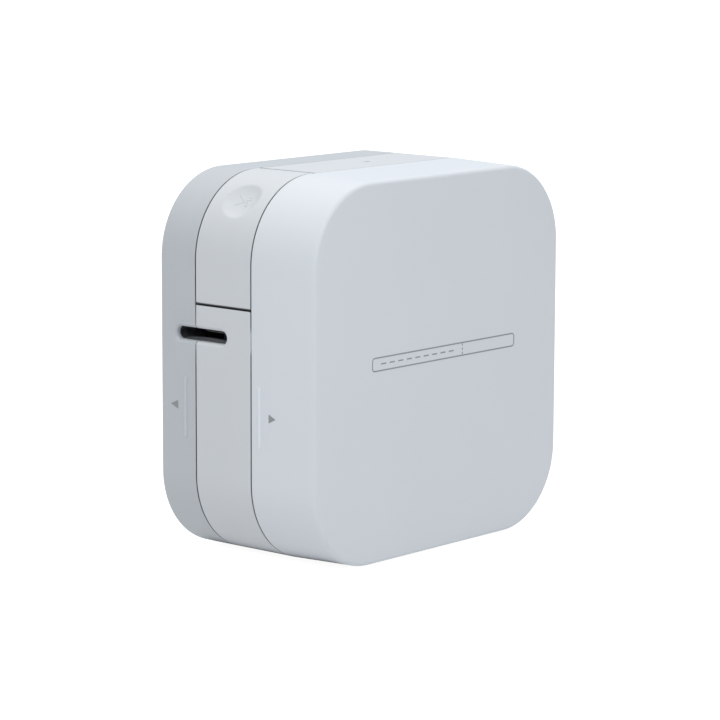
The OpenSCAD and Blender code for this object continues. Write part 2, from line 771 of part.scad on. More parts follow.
// Batteries: two columns of three, every other one turned round
function cell_way(i) = (i % 2 == 0 ? 1 : -1);
function cell_col(i) = i < 3 ? -1 : 1;
function cell_row_z(i) = cell_z + (i % 3 - 1) * cell_pitch;
module cell(i) {
  mid = cell_col(i) * (pocket_x0 + pocket_x1) / 2;
  color([0.25, 0.28, 0.34]) translate([mid, cell_y, cell_row_z(i)]) rotate([0, 90 * cell_way(i), 0])
    translate([0, 0, -cell_l / 2 + 1.2]) union() {
      cylinder(r = cell_r, h = cell_l - 0.9);
      translate([0, 0, cell_l - 1]) cylinder(r = 1.9, h = 1);
    }
}
module battery_springs() {
  reach = (pocket_x1 - pocket_x0) / 2 - 0.5;
  color([0.78, 0.79, 0.80]) for (i = [0:5])
    translate([cell_col(i) * (pocket_x0 + pocket_x1) / 2 - cell_way(i) * reach, cell_y, cell_row_z(i)])
      rotate([0, 90 * cell_way(i), 0]) coil(2.6, 0.3, 2.6, 3);
}
module battery_contacts() {
  color([0.78, 0.79, 0.80]) for (i = [0:5], e = [-1, 1])
    translate([cell_col(i) * (pocket_x0 + pocket_x1) / 2 + e * ((pocket_x1 - pocket_x0) / 2 - 0.25),
      cell_y, cell_row_z(i)]) cube([0.4, 8, 8.4], center = true);
}
module battery_tray() {
  half = 1.5 * cell_pitch;
  color([0.24, 0.25, 0.27]) difference() {
    union() {
      slab(tray_y0, tray_y1) rect(-tray_x, tray_x, cell_z - half - 1.6, cell_z + half + 1.6);
      for (c = tray_posts) slab(tray_y1 - 0.5, plate_y0) disc(c, 2.6);
    }
    for (s = [-1, 1]) slab(tray_y0 - 1, tray_y1 - tray_floor) mirror([s < 0 ? 1 : 0, 0])
      rect(pocket_x0, pocket_x1, cell_z - half, cell_z + half);
    for (c = tray_posts) slab(-6, 1) disc(c, 1);
  }
}

// Main board
module main_board() {
  color([0.12, 0.34, 0.22]) difference() {
    slab(board_y0, board_y1) rounded(board_x0, board_x1, board_z0, board_z1, 2);
    for (c = board_screws) slab(board_y0 - 1, board_y1 + 1) disc(c, 1.1);
  }
}
module radio_module() {
  color([0.74, 0.75, 0.76]) box(30, 42, board_y0 - 2.2, board_y0, 82, 98);
}
module board_parts() {
  color([0.10, 0.10, 0.11]) {
    box(-8, 4, board_y0 - 1.4, board_y0, 78, 90);
    box(10, 18, board_y0 - 1.2, board_y0, 84, 90);
    box(-28, -18, board_y0 - 4, board_y0, 66, 72);
    box(10, 16, board_y0 - 3, board_y0, 66, 72);
    box(32, 43, board_y0 - 5, board_y0, 63, 69);
    box(-30, -14, board_y0 - 2.6, board_y0, 94, 99);
    for (x = [-28, -18]) slab(board_y0 - 9, board_y0) disc([x, 82], 3.2);
  }
}

// Screws: length under the head along the given way
module screw(c, y, way, r, head_r, length) {
  slab(min(y, y + way * length), max(y, y + way * length)) disc(c, r);
  slab(min(y, y - way * 1.3), max(y, y - way * 1.3)) difference() {
    disc(c, head_r);
    rect(c[0] - 1.2, c[0] + 1.2, c[1] - 0.3, c[1] + 0.3);
  }
}
module chassis_screws() {
  color([0.35, 0.36, 0.38]) for (c = band_bosses) screw(c, plate_y0, 1, 1, 2.1, 7);
}
module frame_screws() {
  color([0.50, 0.51, 0.53]) {
    for (c = gear_posts) screw(c, gear_plate_y0, 1, 0.95, 1.9, 4);
    for (c = board_screws) screw(c, board_y0, 1, 0.95, 1.9, 4);
    for (c = tray_posts) screw(c, plate_y1, -1, 0.95, 1.9, 4);
    for (c = bay_lugs) screw(c, plate_y1 + 1.6, -1, 0.95, 1.9, 4);
    for (c = motor_screws) screw(c, plate_y0, 1, 0.95, 1.9, 4);
    for (c = cutter_screws) screw(c, plate_y1 + 1, -1, 0.95, 1.9, 4);
    for (c = bracket_screws) screw(c, plate_y1 + 1.2, -1, 0.95, 1.9, 4);
  }
}

battery_cover();
cassette_cover();
housing_band();
chassis_plate();
cutter_lever();
lever_pin();
lever_bracket();
lever_spring();
cutter_frame();
fixed_blade();
moving_blade();
blade_pin();
power_button();
power_switch();
side_board();
dc_jack();
led_lens();
led_board();
cassette_bay();
cassette_case();
cassette_lid();
tape_spool();
ribbon_spool();
takeup_spool();
takeup_spindle();
label_tape();
print_head();
heat_sink();
head_arm();
head_pin();
head_spring();
release_lever();
release_pin();
platen_roller();
platen_shaft();
platen_gear();
platen_bracket();
gear_1();
gear_2();
gear_axles();
gear_plate();
motor_can();
motor_cap();
motor_shaft();
motor_pinion();
battery_tray();
cell(0);  // battery_1
cell(1);  // battery_2
cell(2);  // battery_3
cell(3);  // battery_4
cell(4);  // battery_5
cell(5);  // battery_6
battery_springs();
battery_contacts();
main_board();
radio_module();
board_parts();
chassis_screws();
frame_screws();
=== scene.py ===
import json
import bmesh
import bpy
import numpy as np
from mathutils import Matrix, Vector


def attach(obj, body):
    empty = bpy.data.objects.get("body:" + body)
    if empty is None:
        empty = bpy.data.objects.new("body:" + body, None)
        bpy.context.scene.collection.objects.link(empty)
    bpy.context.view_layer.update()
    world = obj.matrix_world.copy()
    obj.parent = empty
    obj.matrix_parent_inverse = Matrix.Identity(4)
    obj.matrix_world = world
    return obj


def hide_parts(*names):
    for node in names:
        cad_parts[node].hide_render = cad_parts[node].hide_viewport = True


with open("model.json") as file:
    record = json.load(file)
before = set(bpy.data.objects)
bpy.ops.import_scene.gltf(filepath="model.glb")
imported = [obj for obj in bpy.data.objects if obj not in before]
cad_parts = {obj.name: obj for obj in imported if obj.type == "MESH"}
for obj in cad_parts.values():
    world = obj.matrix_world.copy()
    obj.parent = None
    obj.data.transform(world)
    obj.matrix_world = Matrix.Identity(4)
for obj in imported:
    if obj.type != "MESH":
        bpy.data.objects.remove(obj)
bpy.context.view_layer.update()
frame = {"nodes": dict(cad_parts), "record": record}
nodes = frame["nodes"]
mm = 0.001

# Shell sizes in millimetres, the same as the CAD part
shell = {
    "width": 115.0, "depth": 61.0, "height": 115.0, "cornerRadius": 25.5,
    "seamNear": -6.3, "seamFar": 15.9, "seamGap": 0.35,
    "coverWall": 2.0, "bandWall": 2.2,
}
leftX = -shell["width"] / 2
rightX = shell["width"] / 2
midZ = shell["height"] / 2
bandStart = shell["seamNear"] + shell["seamGap"] / 2
bandEnd = shell["seamFar"] - shell["seamGap"] / 2
midY = (shell["seamNear"] + shell["seamFar"]) / 2


# camera
view = {
    "turn": -49.03, "rise": 9.32, "roll": 0.19, "distance": 966.2,
    "side": -1.21, "lift": -2.56, "lens": 158.07,
}


# back = (sin turn cos rise, -cos turn cos rise, sin rise); the camera stands at target + distance * back
def makeCamera(v):
    turn, rise, roll = np.radians([v["turn"], v["rise"], v["roll"]])
    back = np.array([np.sin(turn) * np.cos(rise), -np.cos(turn) * np.cos(rise), np.sin(rise)])
    right = np.array([np.cos(turn), np.sin(turn), 0.0])
    up = np.cross(back, right)
    across = np.cos(roll) * right + np.sin(roll) * up
    over = -np.sin(roll) * right + np.cos(roll) * up
    place = np.array([0, 0, midZ]) + v["side"] * right + v["lift"] * up + v["distance"] * back
    cam = bpy.data.cameras.new("camera")
    cam.lens = v["lens"]
    cam.sensor_width = 36.0
    cam.clip_start = 0.05
    cam.clip_end = 50.0
    obj = bpy.data.objects.new("camera", cam)
    bpy.context.scene.collection.objects.link(obj)
    turned = Matrix((across, over, back)).transposed().to_4x4()
    obj.matrix_world = Matrix.Translation(Vector(place * mm)) @ turned
    bpy.context.scene.camera = obj


makeCamera(view)
print("camera placed")


# mesh helpers
# Turns points in mm and arrays of faces (each array holds faces of one size) into an object
def putMesh(name, points, faceSets, material=None, sharp=32, smooth=True):
    points = np.asarray(points, float).reshape(-1, 3) * mm
    sets = [np.asarray(f, np.int64) for f in faceSets if len(f)]
    counts = np.concatenate([np.full(len(f), f.shape[1]) for f in sets])
    corners = np.concatenate([f.ravel() for f in sets])
    starts = np.concatenate([[0], np.cumsum(counts)[:-1]])
    mesh = bpy.data.meshes.new(name)
    mesh.vertices.add(len(points))
    mesh.vertices.foreach_set("co", points.ravel().astype(np.float32))
    mesh.loops.add(len(corners))
    mesh.loops.foreach_set("vertex_index", corners.astype(np.int32))
    mesh.polygons.add(len(counts))
    mesh.polygons.foreach_set("loop_start", starts.astype(np.int32))
    mesh.update(calc_edges=True)
    mesh.validate()
    obj = bpy.data.objects.new(name, mesh)
    bpy.context.scene.collection.objects.link(obj)
    finishMesh(obj, sharp, smooth)
    if material:
        mesh.materials.append(material)
    return obj


# Smooth faces, with an edge kept sharp where its two faces turn by more than the given degrees
def finishMesh(obj, sharp=32, smooth=True):
    mesh = obj.data
    mesh.polygons.foreach_set("use_smooth", np.full(len(mesh.polygons), smooth))
    if smooth:
        mesh.set_sharp_from_angle(angle=np.radians(sharp))
    mesh.update()


# Quads of an n by m grid of points; wrapN and wrapM join the last row or column to the first
def gridQuads(n, m, wrapN=False, wrapM=False, flip=False, base=0):
    i = np.arange(n if wrapN else n - 1)[:, None]
    j = np.arange(m if wrapM else m - 1)[None, :]
    i2, j2 = (i + 1) % n, (j + 1) % m
    a, b, c, d = i * m + j, i2 * m + j, i2 * m + j2, i * m + j2
    quads = np.stack([a + 0 * b, b + 0 * a, c + 0 * a, d + 0 * a], -1).reshape(-1, 4) + base
    return quads[:, ::-1] if flip else quads


# Triangles from one ring of points to a single point at its middle
def fan(ring, pole, flip=False):
    ring = np.asarray(ring)
    tris = np.stack([ring, np.roll(ring, -1), np.full(len(ring), pole)], -1)
    return tris[:, ::-1] if flip else tris


# Several point sets as one mesh: each face index grows by the number of points before it
def joinPieces(parts):
    points, faceSets, base = [], [], 0
    for pts, sets in parts:
        pts = np.asarray(pts, float).reshape(-1, 3)
        points.append(pts)
        faceSets += [np.asarray(f) + base for f in sets if len(f)]
        base += len(pts)
    return np.concatenate(points), faceSets


# Revolves a profile of (radius, height) about an axis through centre: point = centre + r (cos a e1 + sin a
# e2) + h axis
def lathe(profile, centre, axis, steps=48):
    profile = np.asarray(profile, float)
    axis = np.asarray(axis, float)
    e1 = np.array([0, 0, 1.0]) if abs(axis[2]) < 0.5 else np.array([1.0, 0, 0])
    e2 = np.cross(axis, e1)
    a = np.linspace(0, 2 * np.pi, steps, endpoint=False)
    spoke = np.cos(a)[:, None] * e1 + np.sin(a)[:, None] * e2
    open0, open1 = profile[0, 0] > 1e-6, profile[-1, 0] > 1e-6
    body = profile[(0 if open0 else 1):(len(profile) if open1 else -1)]
    pts = np.asarray(centre) + body[None, :, 0, None] * spoke[:, None, :] + body[None, :, 1, None] * axis
    m = len(body)
    pts = pts.reshape(-1, 3)
    sets = [gridQuads(steps, m, wrapN=True, flip=True)]
    rows = np.arange(steps) * m
    extra = []
    if not open0:
        extra.append(np.asarray(centre) + profile[0, 1] * axis)
        sets.append(fan(rows, steps * m + len(extra) - 1))
    if not open1:
        extra.append(np.asarray(centre) + profile[-1, 1] * axis)
        sets.append(fan(rows + m - 1, steps * m + len(extra) - 1, flip=True))
    if extra:
        pts = np.concatenate([pts, np.array(extra)])
    return pts, sets


# A quarter turn from (x0, y0) to (x1, y1) that bulges towards the corner (x1, y0) or (x0, y1)
def quarter(x0, y0, x1, y1, firstAlongX=True, steps=6):
    a = np.linspace(0, np.pi / 2, steps + 1)
    if firstAlongX:
        return np.stack([x0 + (x1 - x0) * np.sin(a), y0 + (y1 - y0) * (1 - np.cos(a))], -1)
    return np.stack([x0 + (x1 - x0) * (1 - np.cos(a)), y0 + (y1 - y0) * np.sin(a)], -1)


# outline of the shell
straight = shell["width"] - 2 * shell["cornerRadius"]
arc = shell["cornerRadius"] * np.pi / 2
legs = np.array([straight / 2, arc, straight, arc, straight, arc, straight, arc, straight / 2])
legStart = np.concatenate([[0], np.cumsum(legs)])


# Walks u mm round the shell from the middle of the top, first towards -X.
# On a straight the centre moves and the normal stays; on a corner the centre stays and the normal turns.
def outlineFrame(u):
    u = np.asarray(u, float) % legStart[-1]
    leg = np.clip(np.searchsorted(legStart, u, side="right") - 1, 0, 8)
    part = (u - legStart[leg]) / legs[leg]
    quarterTurns = (leg + 1) // 2
    corner = leg % 2 == 1
    angle = np.where(corner, quarterTurns - 1 + part, quarterTurns) * np.pi / 2 + np.pi / 2
    half = straight / 2
    cornerX = np.array([-half, -half, half, half])
    cornerZ = np.array([half, -half, -half, half])
    startX = np.array([0, -half, -half, half, half])
    startZ = np.array([half, half, -half, -half, half])
    endX = np.array([-half, -half, half, half, 0])
    endZ = np.array([half, -half, -half, half, half])
    c = np.clip(quarterTurns - 1, 0, 3)
    s = np.clip(leg // 2, 0, 4)
    x = np.where(corner, cornerX[c], startX[s] + (endX[s] - startX[s]) * part)
    z = np.where(corner, cornerZ[c], startZ[s] + (endZ[s] - startZ[s]) * part)
    return x, z + midZ, np.cos(angle), np.sin(angle)


# Point on the outline moved in by inset: centre + (radius - inset) * normal; pull draws the centre to the
# middle
def onOutline(u, inset, y, pull=1.0):
    x, z, nx, nz = outlineFrame(u)
    reach = shell["cornerRadius"] - inset
    px = x * pull + reach * nx
    pz = midZ + (z - midZ) * pull + reach * nz
    return np.stack(np.broadcast_arrays(px, y, pz), -1)


# Stops along the outline: many on the four corners, few on the straights
def outlineSteps(perCorner=28, perStraight=6):
    parts = []
    for k in range(9):
        n = perCorner if k % 2 == 1 else (perStraight if k in (2, 4, 6) else perStraight // 2)
        parts.append(np.linspace(legStart[k], legStart[k + 1], n, endpoint=False))
    return np.concatenate(parts)


# materials
def newMaterial(name):
    mat = bpy.data.materials.new(name)
    mat.use_nodes = True
    tree = mat.node_tree
    tree.nodes.clear()
    out = tree.nodes.new("ShaderNodeOutputMaterial")
    skin = tree.nodes.new("ShaderNodeBsdfPrincipled")
    tree.links.new(skin.outputs[0], out.inputs[0])
    place = tree.nodes.new("ShaderNodeTexCoord").outputs["Object"]
    return mat, tree, skin, place


# Place * scale, turned and moved
def stretched(tree, place, scale, move=(0, 0, 0), turn=(0, 0, 0)):
    m = tree.nodes.new("ShaderNodeMapping")
    m.inputs["Scale"].default_value = scale
    m.inputs["Location"].default_value = move
    m.inputs["Rotation"].default_value = turn
    tree.links.new(place, m.inputs["Vector"])
    return m.outputs[0]


# Cloudy noise, about 0 to 1, at the given scale
def noise(tree, place, scale, detail=3.0, rough=0.5):
    n = tree.nodes.new("ShaderNodeTexNoise")
    n.inputs["Scale"].default_value = scale
    n.inputs["Detail"].default_value = detail
    n.inputs["Roughness"].default_value = rough
    tree.links.new(place, n.inputs["Vector"])
    return n.outputs["Fac"]


# Colour that changes between the stops as the factor goes from 0 to 1
def ramp(tree, fac, stops):
    r = tree.nodes.new("ShaderNodeValToRGB")
    bar = r.color_ramp.elements
    while len(bar) < len(stops):
        bar.new(0.5)
    for e, (at, colour) in zip(bar, stops):
        e.position = at
        e.color = (*colour, 1) if len(colour) == 3 else colour
    tree.links.new(fac, r.inputs[0])
    return r.outputs[0]


# Straight line through (fromLow, low) and (fromHigh, high), held level outside them
def spread(tree, fac, low, high, fromLow=0.3, fromHigh=0.7):
    m = tree.nodes.new("ShaderNodeMapRange")
    m.inputs["From Min"].default_value = fromLow
    m.inputs["From Max"].default_value = fromHigh
    m.inputs["To Min"].default_value = low
    m.inputs["To Max"].default_value = high
    tree.links.new(fac, m.inputs["Value"])
    return m.outputs[0]


# One sum of two values or sockets
def sums(tree, kind, a, b):
    m = tree.nodes.new("ShaderNodeMath")
    m.operation = kind
    for socket, v in zip(m.inputs, (a, b)):
        if isinstance(v, (int, float)):
            socket.default_value = v
        else:
            tree.links.new(v, socket)
    return m.outputs[0]


# Bump: the normal leans by the slope of height * distance, times strength
def raised(tree, skin, height, strength, distance):
    b = tree.nodes.new("ShaderNodeBump")
    b.inputs["Strength"].default_value = strength
    b.inputs["Distance"].default_value = distance
    tree.links.new(height, b.inputs["Height"])
    tree.links.new(b.outputs[0], skin.inputs["Normal"])


# colour * k, at most 1
def tint(colour, k):
    return tuple(min(1.0, c * k) for c in colour)


# Moulded plastic: a slow drift of colour, a fine spark-eroded grain and slightly uneven gloss; given a shade
# strength, the gap faces marked on the mesh get a painted shade
def mouldedPlastic(name, colour, rough=0.5, drift=0.02, grain=0.05, grainSize=0.25, coat=0.0, spec=0.5,
                   creviceShade=0.0):
    mat, tree, skin, place = newMaterial(name)
    slow = noise(tree, place, 28, 2)
    base = ramp(tree, slow, [(0.3, tint(colour, 1 - drift)), (0.7, tint(colour, 1 + drift))])
    if creviceShade:   # the faces inside the parting gaps carry a mask attribute and are painted darker by this strength, a painted shade where the gaps fall in shadow
        deep = tree.nodes.new("ShaderNodeAttribute")
        deep.attribute_name = "creviceShade"
        mix = tree.nodes.new("ShaderNodeMix")
        mix.data_type = "RGBA"
        tree.links.new(deep.outputs["Fac"], mix.inputs["Factor"])
        tree.links.new(base, mix.inputs["A"])
        mix.inputs["B"].default_value = (*tint(colour, 1 - creviceShade), 1)
        base = mix.outputs["Result"]
    tree.links.new(base, skin.inputs["Base Color"])
    fine = noise(tree, place, 1000 / grainSize, 3, 0.6)
    tree.links.new(spread(tree, fine, rough - 0.05, rough + 0.05), skin.inputs["Roughness"])
    raised(tree, skin, fine, grain, 0.00004)
    skin.inputs["Specular IOR Level"].default_value = spec
    skin.inputs["Coat Weight"].default_value = coat
    skin.inputs["Coat Roughness"].default_value = 0.3
    return mat


# Steel with fine drawn lines along one axis
def drawnSteel(name, colour, rough=0.3, lines=(30, 4000, 4000), tone=0.10):
    mat, tree, skin, place = newMaterial(name)
    skin.inputs["Metallic"].default_value = 1.0
    grain = noise(tree, stretched(tree, place, lines), 1, 4, 0.65)
    tree.links.new(ramp(tree, grain, [(0.3, tint(colour, 1 - tone)), (0.7, tint(colour, 1 + tone))]),
                   skin.inputs["Base Color"])
    patch = noise(tree, place, 120, 3)
    tree.links.new(spread(tree, patch, rough - 0.07, rough + 0.09), skin.inputs["Roughness"])
    raised(tree, skin, grain, 0.12, 0.00003)
    return mat


# Circuit board: solder resist over copper tracks, with rows of drilled vias
def circuitBoard(name, axes):
    mat, tree, skin, place = newMaterial(name)
    flat = stretched(tree, place, (1, 1, 1), turn=axes)
    cells = tree.nodes.new("ShaderNodeTexBrick")
    cells.offset = 0.37
    cells.inputs["Scale"].default_value = 260
    cells.inputs["Mortar Size"].default_value = 0.045
    cells.inputs["Brick Width"].default_value = 2.6
    cells.inputs["Row Height"].default_value = 0.34
    cells.inputs["Color1"].default_value = (0.012, 0.085, 0.035, 1)
    cells.inputs["Color2"].default_value = (0.016, 0.105, 0.045, 1)
    cells.inputs["Mortar"].default_value = (0.045, 0.20, 0.085, 1)
    tree.links.new(flat, cells.inputs["Vector"])
    dots = tree.nodes.new("ShaderNodeTexVoronoi")
    dots.inputs["Scale"].default_value = 190
    tree.links.new(flat, dots.inputs["Vector"])
    via = ramp(tree, dots.outputs["Distance"], [(0.10, (1, 1, 1)), (0.13, (0, 0, 0))])
    mix = tree.nodes.new("ShaderNodeMix")
    mix.data_type = "RGBA"
    tree.links.new(via, mix.inputs["Factor"])
    tree.links.new(cells.outputs["Color"], mix.inputs["A"])
    mix.inputs["B"].default_value = (0.55, 0.50, 0.36, 1)
    tree.links.new(mix.outputs["Result"], skin.inputs["Base Color"])
    tree.links.new(spread(tree, noise(tree, place, 300), 0.25, 0.36), skin.inputs["Roughness"])
    raised(tree, skin, cells.outputs["Fac"], 0.3, 0.00003)
    return mat


# Wound tape: fine rings round an axis along Y, brighter on the outside face
def woundTape(name, colour, centre, ringScale=9000, rough=0.35):
    mat, tree, skin, place = newMaterial(name)
    moved = stretched(tree, place, (1, 0, 1), (-centre[0] * mm, 0, -centre[1] * mm))
    length = tree.nodes.new("ShaderNodeVectorMath")
    length.operation = "LENGTH"
    tree.links.new(moved, length.inputs[0])
    turns = sums(tree, "SINE", sums(tree, "MULTIPLY", length.outputs["Value"], ringScale), 0.0)
    drift = noise(tree, place, 90, 3)
    both = sums(tree, "ADD", sums(tree, "MULTIPLY", turns, 0.12), drift)
    tree.links.new(ramp(tree, both, [(0.25, tint(colour, 0.82)), (0.75, tint(colour, 1.06))]),
                   skin.inputs["Base Color"])
    tree.links.new(spread(tree, drift, rough - 0.05, rough + 0.1), skin.inputs["Roughness"])
    raised(tree, skin, turns, 0.25, 0.00004)
    return mat


# Battery sleeve: colour bands along the cell, from the mesh attribute "along" (0 at the minus end)
def cellSleeve(name):
    mat, tree, skin, place = newMaterial(name)
    along = tree.nodes.new("ShaderNodeAttribute")
    along.attribute_name = "along"
    bands = ramp(tree, along.outputs["Fac"], [
        (0.0, (0.60, 0.60, 0.62)), (0.028, (0.035, 0.05, 0.09)), (0.70, (0.035, 0.05, 0.09)),
        (0.705, (0.62, 0.30, 0.06)), (0.965, (0.62, 0.30, 0.06)), (0.968, (0.60, 0.60, 0.62))])
    bands.node.color_ramp.interpolation = "CONSTANT"
    tree.links.new(bands, skin.inputs["Base Color"])
    metal = ramp(tree, along.outputs["Fac"], [
        (0.0, (1, 1, 1)), (0.028, (0.25, 0.25, 0.25)), (0.705, (0.55, 0.55, 0.55)), (0.968, (1, 1, 1))])
    metal.node.color_ramp.interpolation = "CONSTANT"
    tree.links.new(metal, skin.inputs["Metallic"])
    tree.links.new(spread(tree, noise(tree, place, 220, 3), 0.24, 0.36), skin.inputs["Roughness"])
    raised(tree, skin, noise(tree, place, 900, 2), 0.05, 0.00003)
    skin.inputs["Coat Weight"].default_value = 0.4
    return mat


# near, band and far are one white plastic as lit and shaded copies: the band is painted darker and the far
# cover darker still, a painted shade for the light falling off towards the back
tones = {
    "near": (0.715, 0.765, 0.82), "band": (0.655, 0.69, 0.732), "far": (0.53, 0.57, 0.612),
    "print": (0.30, 0.315, 0.335), "frameGrey": (0.13, 0.135, 0.145),
    "black": (0.022, 0.022, 0.024), "natural": (0.74, 0.72, 0.64), "blue": (0.035, 0.12, 0.28),
}
# the shells take these tones, so the band, lever and cassette cover carry painted shade
nearFinish = mouldedPlastic("cover_white", tones["near"], 0.48, 0.008, 0.035, 0.22, creviceShade=0.85)
shellFinish = mouldedPlastic("band_white_painted_shade", tones["band"], 0.48, 0.008, 0.035, 0.22, creviceShade=0.85)
farFinish = mouldedPlastic("cassette_cover_white_painted_shade", tones["far"], 0.48, 0.008, 0.035, 0.22, creviceShade=0.85)
leverFinish = mouldedPlastic("lever_white_painted_shade", tones["band"], 0.46, 0.008, 0.03, 0.22, creviceShade=0.85)
printFinish = mouldedPlastic("print_grey", tones["print"], rough=0.55, drift=0.03, grain=0.02)
steelFinish = drawnSteel("pin_steel", (0.62, 0.63, 0.65), 0.22, (4000, 30, 4000))
pinionFinish = drawnSteel("pinion_brass", (0.80, 0.58, 0.26), 0.28, (4000, 60, 4000))
springFinish = drawnSteel("spring_wire", (0.66, 0.67, 0.69), 0.20, (900, 900, 900), 0.05)
finishOf = {
    "shell": shellFinish,
    "frame_plastic": mouldedPlastic("frame_grey", tones["frameGrey"], 0.5, 0.06, 0.10, 0.5),
    "steel": steelFinish,
    "plate_steel": drawnSteel("zinc_plate", (0.56, 0.57, 0.58), 0.34, (3000, 3000, 60), 0.12),
    "blade_steel": drawnSteel("blade_steel", (0.68, 0.69, 0.71), 0.18, (4000, 4000, 30), 0.06),
    "spring_steel": springFinish,
    "screw_steel": drawnSteel("screw_zinc", (0.40, 0.41, 0.43), 0.30, (1500, 1500, 1500), 0.08),
    "black_plastic": mouldedPlastic("black_plastic", tones["black"], 0.42, 0.10, 0.12, 0.4),
    "board": circuitBoard("circuit_board", (np.pi / 2, 0, 0)),
    "lens": mouldedPlastic("lens_milky", (0.50, 0.56, 0.55), 0.18, 0.03, 0.01, coat=0.5),
    "cassette_clear": mouldedPlastic("cassette_lid_grey", (0.62, 0.63, 0.64), 0.30, 0.03, 0.05, 0.4,
                                     coat=0.2),
    "tape": woundTape("tape_white", (0.84, 0.84, 0.80), (22.0, 40.0)),
    "ribbon": woundTape("ribbon_black", (0.030, 0.030, 0.036), (-12.0, 32.0), 12000, 0.25),
    "gear_plastic": mouldedPlastic("gear_natural", tones["natural"], 0.38, 0.04, 0.05, 0.5),
    "lever_blue": mouldedPlastic("release_blue", tones["blue"], 0.42, 0.05, 0.08, 0.4),
    "roller_rubber": mouldedPlastic("roller_rubber", (0.028, 0.028, 0.030), 0.72, 0.10, 0.30, 0.15, spec=0.3),
    "sink": drawnSteel("sink_aluminium", (0.70, 0.71, 0.72), 0.36, (4000, 60, 4000), 0.06),
    "head_ceramic": mouldedPlastic("head_ceramic", (0.70, 0.66, 0.58), 0.16, 0.05, 0.02, 0.6, coat=0.6),
    "motor_steel": drawnSteel("motor_can", (0.60, 0.61, 0.63), 0.26, (3500, 50, 3500), 0.06),
    "pinion_brass": pinionFinish,
    "cell_skin": cellSleeve("cell_sleeve"),
    "radio_tin": drawnSteel("radio_tin", (0.66, 0.67, 0.68), 0.30, (60, 3000, 3000), 0.05),
}
for part in frame["record"]["subparts"]:
    mesh = nodes[part["node"]].data
    mesh.materials.clear()
    mesh.materials.append(finishOf[part["material_slot"]])
print("materials made:", len(finishOf))


# covers
coverNear = {"way": -1, "seam": shell["seamNear"] - shell["seamGap"] / 2, "face": -30.5, "draft": 0.8,
             "edgeRadius": 1.3, "seamRadius": 0.22}
coverFar = {"way": 1, "seam": shell["seamFar"] + shell["seamGap"] / 2, "face": 30.5, "draft": 0.0,
            "edgeRadius": 1.3, "seamRadius": 0.22}


# A cover is its wall profile (inset, y) carried round the outline, then rings that shrink to the middle of
# the
# wide face: point = pull * centre + (radius - inset) * normal
def coverSurface(c, perCorner=30):
    wall, way = shell["coverWall"], c["way"]
    deep = abs(c["face"] - c["seam"])
    r, s = c["edgeRadius"], c["seamRadius"]

    def draftAt(y):
        return c["draft"] * np.abs(y - c["seam"]) / deep

    inner = c["face"] - way * wall
    ys = np.linspace(c["seam"] + way * s, c["face"] - way * r, 14)
    outer = np.stack([draftAt(ys), ys], -1)
    seamTurn = quarter(s, c["seam"], 0.0, c["seam"] + way * s, True)
    edge = quarter(c["draft"], c["face"] - way * r, c["draft"] + r, c["face"], False, 10)
    big = shell["cornerRadius"]
    faceOut = np.stack([np.linspace(c["draft"] + r, big, 8)[1:], np.full(7, c["face"])], -1)
    innerWall = np.stack([np.linspace(wall + c["draft"], wall, 6),
                          np.linspace(inner, c["seam"] + way * 0.1, 6)], -1)
    faceIn = np.stack([np.linspace(big, wall + c["draft"] + 0.2, 8), np.full(8, inner)], -1)
    lip = np.array([[wall - 0.05, c["seam"]], [s + 0.4, c["seam"]]])
    profile = np.concatenate([faceIn, innerWall, lip, seamTurn, outer[1:], edge[1:], faceOut])
    pull = np.ones(len(profile))
    shrink = np.linspace(1, 0, 6)[1:-1]
    first = np.stack([np.full(4, big), np.full(4, inner)], -1)
    last = np.stack([np.full(4, big), np.full(4, c["face"])], -1)
    profile = np.concatenate([first, profile, last])
    pull = np.concatenate([shrink[::-1], pull, shrink])
    u = outlineSteps(perCorner)
    pts = onOutline(u[:, None], profile[None, :, 0], profile[None, :, 1], pull[None, :])
    n, m = len(u), len(profile)
    pts = pts.reshape(-1, 3)
    poles = np.array([[0, inner, midZ], [0, c["face"], midZ]])
    rows = np.arange(n) * m
    turn = way > 0
    sets = [gridQuads(n, m, wrapN=True, flip=not turn),
            fan(rows, n * m, flip=not turn), fan(rows + m - 1, n * m + 1, flip=turn)]
    return np.concatenate([pts, poles]), sets


# mouth of the slot; the lip widens it by its own size at the skin
slot = {"y": 14.0, "z": 67.7, "length": 20.2, "height": 3.9, "lip": 0.8}


# The slot cutter: a stadium that widens towards the skin by lip - depth, with a small round where it meets
# the skin
def slotCutter(s):
    a = np.linspace(0, 2 * np.pi, 64, endpoint=False)
    half = (s["length"] - s["height"]) / 2
    depth = np.concatenate([[8.0, 3.0], s["lip"] * np.array([1.25, 1.0, 0.85, 0.5, 0.2, 0.08, 0.0]), [-0.6]])
    off = np.concatenate([[0, 0], s["lip"] * np.array([0.0, 0.06, 0.15, 0.5, 0.83, 1.02, 1.2]),
                          [s["lip"] * 1.2 + 0.2]])
    rad = s["height"] / 2 + off
    y = s["y"] + half * np.sign(np.round(np.cos(a), 6))[:, None] + rad[None, :] * np.cos(a)[:, None]
    z = s["z"] + rad[None, :] * np.sin(a)[:, None]
    x = np.broadcast_to(leftX + depth[None, :], y.shape)
    pts = np.stack([x, y, z], -1)
    n, m = y.shape
    ends = np.array([[leftX + depth[0], s["y"], s["z"]], [leftX + depth[-1], s["y"], s["z"]]])
    rows = np.arange(n) * m
    sets = [gridQuads(n, m, wrapN=True, flip=True), fan(rows, n * m), fan(rows + m - 1, n * m + 1, flip=True)]
    return np.concatenate([pts.reshape(-1, 3), ends]), sets


# Welds points that coincide and turns all faces outwards
def fixNormals(obj):
    bm = bmesh.new()
    bm.from_mesh(obj.data)
    bmesh.ops.remove_doubles(bm, verts=bm.verts, dist=1e-7)
    bmesh.ops.recalc_face_normals(bm, faces=bm.faces)
    bm.to_mesh(obj.data)
    bm.free()


